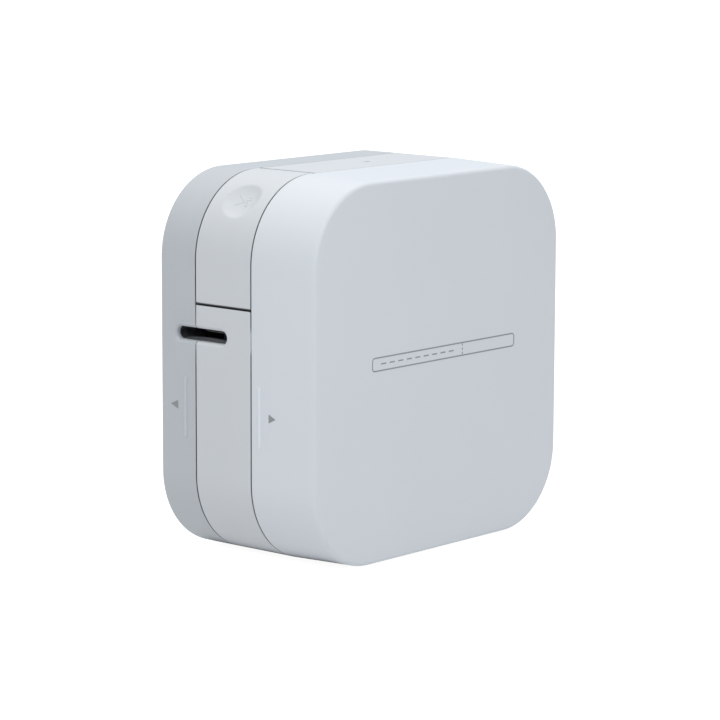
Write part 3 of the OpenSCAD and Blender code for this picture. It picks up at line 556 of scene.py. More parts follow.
# The piece less each cutter in turn
def cutWith(obj, cutters, sharp=32):
    fixNormals(obj)
    for k, (pts, sets) in enumerate(cutters):
        tool = putMesh(f"cutter{k}", pts, sets, smooth=False)
        fixNormals(tool)
        mod = obj.modifiers.new("cut", "BOOLEAN")
        mod.operation = "DIFFERENCE"
        mod.solver = "EXACT"
        mod.object = tool
        done = bpy.data.meshes.new_from_object(obj.evaluated_get(bpy.context.evaluated_depsgraph_get()))
        obj.modifiers.remove(mod)
        old = obj.data
        obj.data = done
        done.name = obj.name
        bpy.data.meshes.remove(old)
        bpy.data.objects.remove(tool)
    finishMesh(obj, sharp)
    return obj


# Marks the faces inside the parting gaps for painted shade: 0 at the skin, 1 from 0.6 mm in, only on a seam
# plane or a lever end
def markCreviceShade(obj):
    mesh = obj.data
    co = np.empty(len(mesh.vertices) * 3, np.float32)
    mesh.vertices.foreach_get("co", co)
    x, y, z = co.reshape(-1, 3).T / mm
    half = shell["width"] / 2 - shell["cornerRadius"]
    qx, qz = np.abs(x) - half, np.abs(z - midZ) - half
    out = np.hypot(np.maximum(qx, 0), np.maximum(qz, 0)) + np.minimum(np.maximum(qx, qz), 0)
    inset = shell["cornerRadius"] - out
    seams = np.minimum(np.abs(y - shell["seamNear"]), np.abs(y - shell["seamFar"])) < 0.4
    reach = np.hypot(leftX - pivot[0], lever["parting"] - pivot[1])
    lower = (np.abs(np.hypot(x - pivot[0], z - pivot[1]) - reach) < 0.5) & (x < -50) & (z < 90)
    upper = (np.abs(x - lever["topX"]) < 0.75) & (z > 105)
    atSlot = (x < -54) & (np.abs(z - slot["z"]) < 2.9)
    value = np.clip((inset - 0.03) / 0.15, 0, 1) * (seams | lower | upper) * (inset < 3) * ~atSlot
    mesh.attributes.new("creviceShade", "FLOAT", "POINT").data.foreach_set("value", value.astype(np.float32))


lever = {
    "pivot": (leftX + 26, 109.0), "parting": 77.1, "topX": -29.5, "gap": 0.3, "topGap": 0.5,
    "endRadius": 0.35, "edgeRadius": 0.22, "dimple": 13.0, "dimpleDepth": 1.8, "dimpleFlat": 1.35,
    "dimpleY": 4.6,
    "dimpleUp": 0.7, "markUp": 0.8, "markAcross": 0.4, "markHeight": 0.15,
}
pivot = np.array(lever["pivot"])
nearObj = putMesh("batteryCoverShell", *coverSurface(coverNear), nearFinish)
farObj = putMesh("cassetteCoverShell", *coverSurface(coverFar), farFinish)
fixNormals(nearObj)
finishMesh(nearObj)
cutWith(farObj, [slotCutter(slot)])
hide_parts("battery_cover")
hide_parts("cassette_cover")
for obj, body in ((nearObj, "battery_cover"), (farObj, "cassette_cover")):
    markCreviceShade(obj)
    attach(obj, body)
print("covers made")

grip = {"z0": 36.4, "z1": 54.8, "width": 1.0, "height": 0.35, "yNear": -9.7, "yFar": 20.1}


# Grip ridge: half a squared ellipse across (sine and cosine to the power 0.6), closed by rounding both ends
def ridgeSurface(y, side, base):
    t = np.linspace(0, 1, 41)
    a = np.linspace(0, np.pi, 13)
    half = (grip["z1"] - grip["z0"]) / 2
    s = -np.cos(np.pi * t)
    end = np.clip((np.abs(s) * half - (half - 0.5)) / 0.5, 0, 1)
    size = np.sqrt(np.clip(1 - end ** 2, 0.0004, 1))
    zs = (grip["z0"] + grip["z1"]) / 2 + s * half
    sink = 0.15
    rise = np.sin(a) ** 0.6
    across = np.sign(np.round(np.cos(a), 6)) * np.abs(np.cos(a)) ** 0.6
    x = base + side * (size[:, None] * rise[None, :] * grip["height"] - sink * (rise[None, :] < 1e-4))
    yy = y + size[:, None] * across[None, :] * grip["width"] / 2
    zz = np.broadcast_to(zs[:, None], x.shape)
    pts = np.stack([x, yy, zz], -1).reshape(-1, 3)
    sets = [gridQuads(41, 13, wrapM=True)]
    ends = [np.arange(13)[None, ::-1], (np.arange(13) + 40 * 13)[None, :]]
    return pts, sets + ends


arrow = {"z": 46.0, "tall": 2.7, "nearBase": -13.1, "nearTip": -15.8, "farBase": 23.2, "farTip": 26.3,
         "thick": 0.03}


# Printed arrow: a flat triangle with slightly rounded corners, a hair above the skin
def arrowSurface(base, tip, side, wall):
    corner = np.array([[base, arrow["z"] + arrow["tall"] / 2], [base, arrow["z"] - arrow["tall"] / 2],
                       [tip, arrow["z"]]])
    middle = corner.mean(0)
    radius = 0.12
    pts = []
    for k in range(3):
        d0 = corner[k - 1] - corner[k]
        d1 = corner[(k + 1) % 3] - corner[k]
        d0, d1 = d0 / np.linalg.norm(d0), d1 / np.linalg.norm(d1)
        w = np.linspace(0, 1, 5)[:, None]
        pts.append(corner[k] + radius * 2 * ((1 - w) ** 2 * d0 + w ** 2 * d1))
    ring = np.concatenate(pts)
    n = len(ring)
    x = [wall(ring[:, 0]) - side * 0.05, wall(ring[:, 0]) + side * arrow["thick"]]
    layers = [np.stack([xx, ring[:, 0], ring[:, 1]], -1) for xx in x]
    mids = np.array([[wall(middle[0]) - side * 0.05, *middle],
                     [wall(middle[0]) + side * arrow["thick"], *middle]])
    pts = np.concatenate([layers[0], layers[1], mids])
    return pts, [gridQuads(2, n, wrapM=True), fan(np.arange(n), 2 * n),
                 fan(np.arange(n) + n, 2 * n + 1, flip=True)]


# Side wall of the battery cover: half the width less draft * (seam - y) / (seam - face)
def nearWall(side):
    def at(y):
        inset = coverNear["draft"] * (coverNear["seam"] - y) / (coverNear["seam"] - coverNear["face"])
        return side * (rightX - inset)
    return at


# Side wall of the cassette cover: half the width at every y
def farWall(side):
    return lambda y: side * rightX + 0 * y


# the cassette side takes the far cover's tone, which carries painted shade
finishTone = {"battery": tones["near"], "cassette": tones["far"]}
for label, y, base, tip, wallOf, body in (
        ("battery", grip["yNear"], arrow["nearBase"], arrow["nearTip"], nearWall, "battery_cover"),
        ("cassette", grip["yFar"], arrow["farBase"], arrow["farTip"], farWall, "cassette_cover")):
    # the grip ridges are the cover plastic painted 9% lighter, a painted highlight where the raised ridges
    # catch the light
    ridgeFinish = mouldedPlastic(f"{label}_ridge", tint(finishTone[label], 1.09), 0.42, 0.008, 0.03, 0.22)
    for side, where in ((-1, "Left"), (1, "Right")):
        wall = wallOf(side)
        ridge = putMesh(f"{label}Ridge{where}", *ridgeSurface(y, side, wall(np.array(y))), ridgeFinish, 50)
        mark = putMesh(f"{label}Arrow{where}", *arrowSurface(base, tip, side, wall), printFinish)
        for obj in (ridge, mark):
            fixNormals(obj)
            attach(obj, body)
print("ridges and arrows made")


# band and lever

# Height of the parting line on the left wall at a given inset, on an arc of one radius about the lever's pin
def partingZ(inset, upper):
    z = lever["parting"] + (lever["gap"] if upper else -lever["gap"])
    reach = np.hypot(leftX - pivot[0], z - pivot[1])
    return pivot[1] - np.sqrt(reach ** 2 - (leftX + inset - pivot[0]) ** 2)


# Closed wall section (inset, y): a flat bar with rounded corners, drawn in by c for the rounded ends
def wallSection(c, outerSteps):
    t, r = shell["bandWall"], lever["edgeRadius"]
    y0, y1 = bandStart + c, bandEnd - c
    d0, d1 = c, t - c
    q = min(r, (d1 - d0) / 2 - 0.01)
    outerY = y0 + q + (y1 - y0 - 2 * q) * outerSteps
    outer = np.stack([np.full(len(outerY), d0), outerY], -1)
    turn1 = quarter(d0, y1 - q, d0 + q, y1, False, 4)[1:]
    turn2 = quarter(d1 - q, y1, d1, y1 - q, True, 2)
    inner = np.stack([np.full(6, d1), np.linspace(y1 - q, y0 + q, 8)[1:-1]], -1)
    turn3 = quarter(d1, y0 + q, d1 - q, y0, False, 2)
    turn4 = quarter(d0 + q, y0, d0, y0 + q, True, 4)[:-1]
    return np.concatenate([outer, turn1, turn2, inner, turn3, turn4])


# Sweeps the wall section along u; each end draws in on a quarter circle and follows its own parting shape
def wallSweep(u, outerSteps, shearStart, shearEnd, dent=None):
    r = lever["endRadius"]
    startU = u[0] + r * (1 - np.cos(np.linspace(0, np.pi / 2, 6)))
    startC = r * (1 - np.sin(np.linspace(0, np.pi / 2, 6)))
    endU = u[-1] - startU[::-1] + u[0]
    endC = startC[::-1]
    inside = u[(u > startU[-1] + 0.05) & (u < endU[0] - 0.05)]
    path = np.concatenate([startU, inside, endU])
    draw = np.concatenate([startC, np.zeros(len(inside)), endC])
    section = np.stack([wallSection(c, outerSteps) for c in draw])
    inset, y = section[..., 0], section[..., 1]
    uu = np.broadcast_to(path[:, None], inset.shape).copy()
    uu += shearStart(uu, inset) + shearEnd(uu, inset)
    if dent is not None:
        k = len(outerSteps)
        inset = inset.copy()
        inset[:, :k] += dent(uu[:, :k], y[:, :k])
    pts = onOutline(uu, inset, y)
    n, m = inset.shape
    flat = pts.reshape(-1, 3)
    mids = np.stack([pts[0].mean(0), pts[-1].mean(0)])
    sets = [gridQuads(n, m, wrapM=True), fan(np.arange(m), n * m),
            fan(np.arange(m) + (n - 1) * m, n * m + 1, flip=True)]
    return np.concatenate([flat, mids]), sets


leftTop = legStart[2]                # where the left wall's straight begins
uOfZ = lambda z: leftTop + (midZ + straight / 2) - z
leverStartU = -(lever["topX"] - lever["topGap"])
leverEndU = uOfZ(lever["parting"] + lever["gap"])
bandStartU = uOfZ(lever["parting"] - lever["gap"])
bandEndU = legStart[-1] - (lever["topX"] + lever["topGap"])


# Moves the lever's lower end onto its arc, by a share that grows from the top of the left side
def leverShear(uu, inset):
    w = np.clip((uu - leftTop) / (leverEndU - leftTop), 0, 1)
    return w * (uOfZ(partingZ(inset, True)) - leverEndU)


# Moves the band's first 12 mm onto the arc below the lever, by a share that falls to nothing
def bandShear(uu, inset):
    w = np.clip(1 - (uu - bandStartU) / 12.0, 0, 1)
    return w * (uOfZ(partingZ(inset, False)) - bandStartU)


# Leaves an end square
def noShear(uu, inset):
    return 0 * uu


# Distance from (p, q) to the nearest point of the segment from a to b
def segmentGap(p, q, a, b):
    a, b = np.array(a), np.array(b)
    d = b - a
    t = np.clip(((p - a[0]) * d[0] + (q - a[1]) * d[1]) / (d @ d), 0, 1)
    return np.hypot(p - a[0] - t * d[0], q - a[1] - t * d[1])


# Thumb dimple: depth * (1 - (distance / radius)^(2 flat)) with a soft rim, and a plain pair of scissors
# raised in it
def dimpleDent(uu, y):
    p = uu - (legStart[1] + arc / 2) + lever["dimpleUp"]
    q = y - lever["dimpleY"]
    rad = lever["dimple"] / 2
    bowl = lever["dimpleDepth"] * (1 - ((p * p + q * q) / rad ** 2) ** lever["dimpleFlat"])
    soft = 0.05
    dent = 0.5 * (bowl + np.sqrt(bowl * bowl + soft * soft)) - 0.5 * soft * np.exp(-np.maximum(-bowl, 0) * 3)
    dent = np.maximum(dent, 0) * (bowl > -0.5)
    p, q = p + lever["markUp"], q - lever["markAcross"]
    blades = np.minimum(segmentGap(p, q, (0.75, -1.0), (-1.9, 2.5)),
                        segmentGap(p, q, (-0.75, -1.0), (1.9, 2.5)))
    rings = np.minimum(np.abs(np.hypot(p - 1.15, q + 1.6) - 0.7), np.abs(np.hypot(p + 1.15, q + 1.6) - 0.7))
    line = np.minimum(blades, rings)
    return dent - lever["markHeight"] * np.clip((0.26 - line) / 0.14, 0, 1)


# Stops from lo to hi, fine within half of c and coarse elsewhere
def denseAround(lo, hi, c, half, fine, coarse):
    left = np.arange(lo, c - half, coarse)
    mid = np.arange(c - half, c + half, fine)
    right = np.arange(c + half, hi, coarse)
    return np.concatenate([left, mid, right, [hi]])


flatSteps = np.linspace(0, 1, 14)
ySpan = bandEnd - bandStart
fineY = denseAround(bandStart, bandEnd, lever["dimpleY"], 3.2, 0.11, 0.5)
fineSteps = (fineY - fineY[0]) / ySpan
leverPath = denseAround(leverStartU, leverEndU, legStart[1] + arc / 2, 3.2, 0.11, 0.45)
leverObj = putMesh("cutterLeverSkin", *wallSweep(leverPath, fineSteps, noShear, leverShear, dimpleDent),
                   leverFinish, 40)
fixNormals(leverObj)
finishMesh(leverObj, 40)

bandU = np.concatenate([[bandStartU], np.linspace(bandStartU, legStart[3], 24)[1:],
                        *[np.linspace(legStart[k], legStart[k + 1],
                                      31 if k % 2 else 9)[1:] for k in range(3, 9)],
                        np.linspace(legStart[-1], bandEndU, 6)[1:]])
bandObj = putMesh("housingBandShell", *wallSweep(bandU, flatSteps, bandShear, noShear), shellFinish)


# Round bore of the given radius that opens over a quarter round lip to radius + lip
def roundCutter(centre, axis, radius, lip, depth):
    a = np.linspace(0, np.pi / 2, 5)[1:]
    profile = [(0, -depth), (radius, -depth), (radius, -lip)]
    profile += [(radius + lip * (1 - np.cos(t)), -lip * (1 - np.sin(t))) for t in a]
    profile += [(radius + lip, 1.0), (0, 1.0)]
    return lathe(profile, centre, axis, 64)


ports = {"jackZ": 68.0, "jackRadius": 3.4, "buttonZ": 84.0, "buttonRadius": 3.8, "ledX": 6.5,
         "ledRadius": 1.25}
cutWith(bandObj, [
    slotCutter(slot),
    roundCutter((rightX, midY, ports["jackZ"]), (1, 0, 0), ports["jackRadius"], 0.4, 6),
    roundCutter((rightX, midY, ports["buttonZ"]), (1, 0, 0), ports["buttonRadius"], 0.3, 6),
    roundCutter((ports["ledX"], midY, shell["height"]), (0, 0, 1), ports["ledRadius"], 0.12, 6),
])
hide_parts("housing_band")
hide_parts("cutter_lever")
for obj, body in ((bandObj, "chassis"), (leverObj, "cutter_lever")):
    markCreviceShade(obj)
    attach(obj, body)
print("band and lever made")

# inside of the shell
# Carries a closed (inset, y) section along u, with a flat face at each end; u may differ across the section
def extrudeAlong(u, section, shift=None):
    section = np.asarray(section, float)
    uu = np.broadcast_to(np.asarray(u, float)[:, None], (len(u), len(section))).copy()
    if shift is not None:
        uu = shift(uu, np.broadcast_to(section[:, 0], uu.shape))
    pts = onOutline(uu, section[None, :, 0], section[None, :, 1])
    n, m = uu.shape
    return pts.reshape(-1, 3), [gridQuads(n, m, wrapM=True), np.arange(m)[None, ::-1],
                                (np.arange(m) + (n - 1) * m)[None]]


# Extrudes an (x, z) loop between two y values, with the rims drawn in by a small round edge
def plateOf(loop, y0, y1, edge=0.2):
    loop = np.asarray(loop, float)
    nextEdge = np.roll(loop, -1, 0) - loop
    lastEdge = loop - np.roll(loop, 1, 0)
    n1 = np.stack([nextEdge[:, 1], -nextEdge[:, 0]], -1)
    n0 = np.stack([lastEdge[:, 1], -lastEdge[:, 0]], -1)
    n1 /= np.linalg.norm(n1, axis=1)[:, None]
    n0 /= np.linalg.norm(n0, axis=1)[:, None]
    mitre = (n0 + n1) / (1 + (n0 * n1).sum(1))[:, None]
    area = (loop[:, 0] * np.roll(loop[:, 1], -1) - np.roll(loop[:, 0], -1) * loop[:, 1]).sum()
    out = mitre * np.sign(area)
    a = np.linspace(0, np.pi / 2, 4)
    inset = np.concatenate([edge * (1 - np.sin(a)), edge * (1 - np.cos(a))])
    ys = np.concatenate([y0 + edge * (1 - np.cos(a)), y1 - edge * (1 - np.sin(a))])
    rings = loop[None] - inset[:, None, None] * out[None]
    pts = np.stack([rings[..., 0], np.broadcast_to(ys[:, None], rings.shape[:2]), rings[..., 1]], -1)
    n, m = len(ys), len(loop)
    return pts.reshape(-1, 3), [gridQuads(n, m, wrapM=True), np.arange(m)[None, ::-1],
                                (np.arange(m) + (n - 1) * m)[None]]


# Revolves a closed (radius, height) loop
def ringLathe(loop, centre, axis, steps=40):
    loop = np.asarray(loop, float)
    axis = np.asarray(axis, float)
    e1 = np.array([0, 0, 1.0]) if abs(axis[2]) < 0.5 else np.array([1.0, 0, 0])
    e2 = np.cross(axis, e1)
    a = np.linspace(0, 2 * np.pi, steps, endpoint=False)
    spoke = np.cos(a)[:, None] * e1 + np.sin(a)[:, None] * e2
    pts = np.asarray(centre) + loop[None, :, 0, None] * spoke[:, None, :] + loop[None, :, 1, None] * axis
    return pts.reshape(-1, 3), [gridQuads(steps, len(loop), wrapN=True, wrapM=True, flip=True)]


# Rectangle with corners of radius r
def rectLoop(x0, x1, z0, z1, r=0.4, steps=4):
    a = np.linspace(0, np.pi / 2, steps)
    parts = []
    for k, (cx, cz) in enumerate(((x1 - r, z1 - r), (x0 + r, z1 - r), (x0 + r, z0 + r), (x1 - r, z0 + r))):
        t = a + k * np.pi / 2
        parts.append(np.stack([cx + r * np.cos(t), cz + r * np.sin(t)], -1))
    return np.concatenate(parts)


# Last steps for a piece: normals, shading and body
def settle(obj, body, sharp=32):
    fixNormals(obj)
    finishMesh(obj, sharp)
    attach(obj, body)
    return obj


tongue = {"thick": 1.2, "gapIn": 2.55, "reach": 7.6, "root": 2.5, "lead": 0.35}


# Guide tongue of a cover: an L section, its root on the wall and its free end past the seam with a lead-in
def tongueSection(tip, way):
    t = tongue
    d0, d1 = t["gapIn"], t["gapIn"] + t["thick"]
    far = tip + way * t["reach"]
    rootEnd = far - way * t["root"]
    return [(shell["coverWall"] - 0.1, far), (d1, far), (d1, tip + way * t["lead"]), (d1 - t["lead"], tip),
            (d0 + t["lead"], tip), (d0, tip + way * t["lead"]), (d0, rootEnd),
            (shell["coverWall"] - 0.1, rootEnd)]


# Where the guide tongues stand along the outline: two below, one on top, one on each side
def tongueSpans():
    bottom, right, left = legStart[4] + straight / 2, legStart[6], legStart[2]
    top = midZ + straight / 2
    low = midZ - straight / 2
    return [(bottom - 19, bottom - 9), (bottom + 9, bottom + 19), (-22, -10),
            (right + 42 - low, right + 52 - low),
            (left + top - 52, left + top - 44)]


for label, tip, way, body, finish in (("battery", -2.7, -1, "battery_cover", nearFinish),
                                      ("cassette", 12.3, 1, "cassette_cover", farFinish)):
    parts = [extrudeAlong(np.linspace(a, b, 5), tongueSection(tip, way)) for a, b in tongueSpans()]
    settle(putMesh(f"{label}CoverTongues", *joinPieces(parts), finish), body)

boss = {"outer": 3.2, "hole": 1.05, "y0": 2.0, "y1": 9.0, "edge": 0.25,
        "places": [(-25, 5.2), (25, 5.2), (30, 109.8), (52.3, 30), (-52.3, 30)]}


# Section of a boss: a ring from hole to outer with both rims of its end eased
def bossLoop(b):
    e = b["edge"]
    return [(b["hole"], b["y0"]), (b["outer"], b["y0"]), (b["outer"], b["y1"] - e), (b["outer"] - e, b["y1"]),
            (b["hole"] + e, b["y1"]), (b["hole"], b["y1"] - e)]


parts = [ringLathe(bossLoop(boss), (x, 0, z), (0, 1, 0)) for x, z in boss["places"]]
settle(putMesh("bandScrewBosses", *joinPieces(parts), shellFinish), "chassis")

leverRib = {"depth": 7.0, "reachCut": 3.0, "ys": ((3.0, 4.2), (8.3, 9.5)), "hub": 2.8, "bore": 1.32}


# Height where the rib ends: an arc about the pin, shorter than the wall's own
def ribEndU(inset):
    reach = np.hypot(leftX - pivot[0], lever["parting"] + lever["gap"] - pivot[1]) - leverRib["reachCut"]
    return uOfZ(pivot[1] - np.sqrt(reach ** 2 - (leftX + inset - pivot[0]) ** 2))


# Moves a rib's lower end onto its arc, by a share that grows down the left side
def ribShift(uu, inset):
    w = np.clip((uu - leftTop) / (uu.max() - leftTop), 0, 1)
    return uu + w * (ribEndU(inset) - uu.max())


ribPath = np.linspace(leverStartU + 0.4, ribEndU(2.1), 60)
parts = []
for y0, y1 in leverRib["ys"]:
    inset = np.linspace(shell["bandWall"] - 0.1, leverRib["depth"], 5)
    section = np.concatenate([np.stack([inset, np.full(5, y0)], -1),
                              np.stack([inset[::-1], np.full(5, y1)], -1)])
    parts.append(extrudeAlong(ribPath, section, ribShift))
hubLoop = [(leverRib["bore"], 2.6), (leverRib["hub"] - 0.2, 2.6), (leverRib["hub"], 2.8),
           (leverRib["hub"], 9.3),
           (leverRib["hub"] - 0.2, 9.5), (leverRib["bore"], 9.5)]
parts.append(ringLathe(hubLoop, (pivot[0], 0, pivot[1]), (0, 1, 0)))
parts.append(plateOf(rectLoop(pivot[0] - 2.4, lever["topX"] - 0.6, pivot[1] + 2.2, 112.95), 2.6, 9.5))
parts.append(plateOf(rectLoop(leftX + 2.5, leftX + 5.1, 72.9, 80, 0.6), -0.4, 1.6))
parts.append(plateOf(rectLoop(leftX + 1.9, leftX + 3.2, 77.9, 80, 0.3), -0.4, 1.6))
settle(putMesh("leverInnerFrame", *joinPieces(parts), leverFinish), "cutter_lever")
print("inner ribs, tongues and bosses made")

# dark curved guide just behind the slot, and the shadowed throat round it
# ends 0.4 mm short of the moving blade at X -53.3
throat = {"x": -55.2, "bow": 0.3, "depth": 1.2, "sag": 1.1}
guideT = np.linspace(0, 1, 25)
guideV = np.linspace(0, 1, 13)
tt, vv = np.meshgrid(guideT, guideV, indexing="ij")
guideX = throat["x"] + throat["bow"] * np.sin(np.pi * tt) + throat["depth"] * vv * vv
guideY = 3.4 + 19.2 * tt
guideZ = (65.2 + 0.35 + throat["sag"] * (0.2 + 0.8 * vv) * np.sin(np.pi * (0.15 + 0.7 * tt))
          - 1.5 * vv * (1 - vv))
guideTop = np.stack([guideX, guideY, guideZ], -1)
guideLow = guideTop - np.array([0, 0, 0.8])
n, m = tt.shape
edge = np.concatenate([np.arange(m), np.arange(1, n) * m + m - 1, (n - 1) * m + np.arange(m - 2, -1, -1),
                       np.arange(n - 2, 0, -1) * m])
wallQuads = np.stack([edge, np.roll(edge, -1), np.roll(edge, -1) + n * m, edge + n * m], -1)
guideObj = putMesh("slotTapeGuide", np.concatenate([guideTop.reshape(-1, 3), guideLow.reshape(-1, 3)]),
                   [gridQuads(n, m), gridQuads(n, m, flip=True, base=n * m), wallQuads],
                   finishOf["frame_plastic"])
settle(guideObj, "chassis", 40)

# label mark on the wide face
mark = {"x0": -31.6, "x1": 35.3, "z0": 58.3, "z1": 62.6, "line": 0.42, "fold": 0.62, "dash": 1.1,
        "thick": 0.03}


# Flat ring between a rounded rectangle and the same one drawn in by the line width
def tagOutline(x0, x1, z0, z1, r, line, y0, y1):
    outer = rectLoop(x0, x1, z0, z1, r, 8)
    inner = rectLoop(x0 + line, x1 - line, z0 + line, z1 - line, max(r - line, 0.05), 8)
    loops = [(outer, y0), (outer, y1), (inner, y1), (inner, y0)]
    pts = np.stack([np.stack([lp[:, 0], np.full(len(lp), y), lp[:, 1]], -1) for lp, y in loops])
    n, m = pts.shape[:2]
    return pts.reshape(-1, 3), [gridQuads(n, m, wrapN=True, wrapM=True)]


faceY = coverNear["face"]
cutX = mark["x0"] + (mark["x1"] - mark["x0"]) * mark["fold"]
parts = [tagOutline(mark["x0"], mark["x1"], mark["z0"], mark["z1"], 1.2, mark["line"], faceY, faceY + 0.08)]
for k in range(3):
    z = mark["z0"] + 0.55 + k * 1.28
    parts.append(plateOf(rectLoop(cutX, cutX + mark["line"], z, z + 0.75, 0.1), faceY, faceY + 0.08, 0.01))
for k in range(9):
    x = mark["x0"] + 4 + k * 3.9
    parts.append(plateOf(rectLoop(x, x + 2.4, 60.24, 60.66, 0.2), faceY, faceY + 0.08, 0.01))
markPts, markSets = joinPieces(parts)
markPts[:, 1] -= 0.02
settle(putMesh("labelStripMark", markPts, markSets, printFinish), "battery_cover")

# cells and springs
cell = {"radius": 5.25, "length": 44.5, "pitch": 11.2, "y": -21.6, "z": 37.0, "x": 25.1, "lead": 1.2}


# Cell profile (radius, height) from the flat minus end to the plus button
def cellProfile(c):
    r, top = c["radius"], c["length"] - 0.9
    p = [(0, 0), (3.4, 0), (3.6, 0.12), (4.4, 0.12), (4.7, 0.0), (r - 0.25, 0.02), (r - 0.06, 0.12),
         (r, 0.35)]
    p += [(r, h) for h in np.linspace(1.2, top - 1.2, 30)]
    p += [(r, top - 0.4), (r - 0.1, top - 0.12), (r - 0.4, top), (4.3, top), (4.1, top - 0.25),
          (2.9, top - 0.25),
          (2.3, top - 0.05), (1.9, top + 0.1), (1.85, top + 0.7), (1.6, top + 0.88), (0, top + 0.9)]
    return p


# Cells lie head to tail in turn
def cellWay(i):
    return 1 if i % 2 == 0 else -1


# Middle of cell i: three in each of two rows, a pitch apart
def cellPlace(i):
    return np.array([(-1 if i < 3 else 1) * cell["x"], cell["y"], cell["z"] + (i % 3 - 1) * cell["pitch"]])


for i in range(6):
    way = cellWay(i)
    start = cellPlace(i) + np.array([way * (cell["lead"] - cell["length"] / 2), 0, 0])
    obj = putMesh(f"cellBody{i + 1}", *lathe(cellProfile(cell), start, (way, 0, 0), 56),
                  finishOf["cell_skin"])
    fixNormals(obj)
    finishMesh(obj)
    co = np.empty(len(obj.data.vertices) * 3, np.float32)
    obj.data.vertices.foreach_get("co", co)
    along = (co.reshape(-1, 3)[:, 0] / mm - start[0]) * way / cell["length"]
    obj.data.attributes.new("along", "FLOAT", "POINT").data.foreach_set("value", along.astype(np.float32))
    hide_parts(f"battery_{i + 1}")
    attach(obj, "chassis")


# Helix tube: centre line p(t) = (r cos a, r sin a, h), its end turns flattened, a round wire carried along it
def springCoil(radius, wire, height, turns, base, axis, taper=0.0, sides=10, perTurn=36):
    t = np.linspace(0, 1, int(turns * perTurn) + 1)
    a = 2 * np.pi * turns * t
    flat = 0.8 / turns
    rise = np.clip((t - flat) / (1 - 2 * flat), 0, 1)
    climb = wire + (height - 2 * wire) * rise + 1.0 * wire * (np.minimum(t,
        flat) - flat + np.maximum(t - 1 + flat, 0)) / flat
    climb = np.clip(climb, wire, height - wire)
    axis = np.asarray(axis, float)
    e1 = np.array([0, 0, 1.0]) if abs(axis[2]) < 0.5 else np.array([1.0, 0, 0])
    e2 = np.cross(axis, e1)
    r = radius * (1 - taper * t)
    spoke = np.cos(a)[:, None] * e1 + np.sin(a)[:, None] * e2
    b = np.linspace(0, 2 * np.pi, sides, endpoint=False)
    centre = np.asarray(base) + r[:, None] * spoke + climb[:, None] * axis
    ring = wire * (np.cos(b)[None, :, None] * spoke[:, None, :] + np.sin(b)[None, :, None] * axis)
    pts = (centre[:, None, :] + ring).reshape(-1, 3)
    n = len(t)
    ends = np.stack([centre[0], centre[-1]])
    return np.concatenate([pts, ends]), [gridQuads(n, sides, wrapM=True), fan(np.arange(sides), n * sides),
                                         fan(np.arange(sides) + (n - 1) * sides, n * sides + 1, flip=True)]


coil = {"radius": 2.6, "wire": 0.3, "height": 2.6, "turns": 3, "reach": 23.8}
parts = []
for i in range(6):
    way = cellWay(i)
    parts.append(springCoil(coil["radius"], coil["wire"], coil["height"], coil["turns"],
                            cellPlace(i) - np.array([way * coil["reach"], 0, 0]), (way, 0, 0), 0.25))
obj = putMesh("cellSprings", *joinPieces(parts), springFinish)
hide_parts("battery_springs")
settle(obj, "chassis", 60)
for name, node, base, height in (("leverReturnCoil", "lever_spring", (pivot[0], 12.8, pivot[1]), 3.0),
                                 ("headPressCoil", "head_spring", (-47.0, 12.1, 56.0), 2.9)):
    obj = putMesh(name, *springCoil(2.0, 0.3, height, 4, base, (0, -1, 0)), springFinish)
    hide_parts(node)
    settle(obj, "chassis", 60)
print("cells and springs made")

# power button, status light and jack
button = {"radius": 3.5, "flange": 4.6, "face": rightX - 0.3, "dish": 0.35, "edge": 0.35}


# Button profile: flange, stem, rounded edge and a dished face, dish * (1 - (r / radius)^2)
def buttonProfile(b):
    p = [(0, -3.5), (b["flange"] - 0.2, -3.5), (b["flange"], -3.3), (b["flange"], -2.7),
         (b["flange"] - 0.2, -2.5),
         (b["radius"], -2.5), (b["radius"], -b["edge"])]
    a = np.linspace(0, np.pi / 2, 6)[1:]
    p += [(b["radius"] - b["edge"] * (1 - np.cos(t)), -b["edge"] * (1 - np.sin(t))) for t in a]
    inner = b["radius"] - b["edge"] - 0.25
    p += [(r, -b["dish"] * (1 - (r / inner) ** 2)) for r in np.linspace(inner, 0, 12)]
    return p


# Power sign: a ring open for 70 degrees at the top, and a bar through the opening
def powerSign(y0, z0, x, radius=1.25, line=0.26):
    a = np.linspace(np.radians(125), np.radians(415), 40)
    ring = np.stack([np.full(40, x), y0 + radius * np.cos(a), z0 + radius * np.sin(a)], -1)
    inner = np.stack([np.full(40, x), y0 + (radius - line) * np.cos(a), z0 + (radius - line) * np.sin(a)], -1)
    deep = np.array([0.12, 0, 0])
    loops = np.stack([ring, inner, inner - deep, ring - deep])
    ends = [np.array([[0, 40, 80, 120]]), np.array([[39, 159, 119, 79]])]
    bar = np.array([[x, y0 + sy * line / 2, z0 + h]
                    for sy, h in ((-1, 0.35), (1, 0.35), (1, 1.55), (-1, 1.55))])
    barPts = np.concatenate([bar, bar - deep])
    barSets = [gridQuads(2, 4, wrapM=True), np.arange(4)[None, ::-1], (np.arange(4) + 4)[None]]
    return joinPieces([(loops.reshape(-1, 3), [gridQuads(4, 40, wrapN=True)] + ends), (barPts, barSets)])


obj = putMesh("powerButtonCap", *lathe(buttonProfile(button), (button["face"], midY, ports["buttonZ"]),
                                       (1, 0, 0), 64),
              leverFinish)
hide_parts("power_button")
settle(obj, "power_button")
obj = putMesh("powerButtonSign", *powerSign(midY, ports["buttonZ"], button["face"] - 0.18), printFinish)
settle(obj, "power_button")

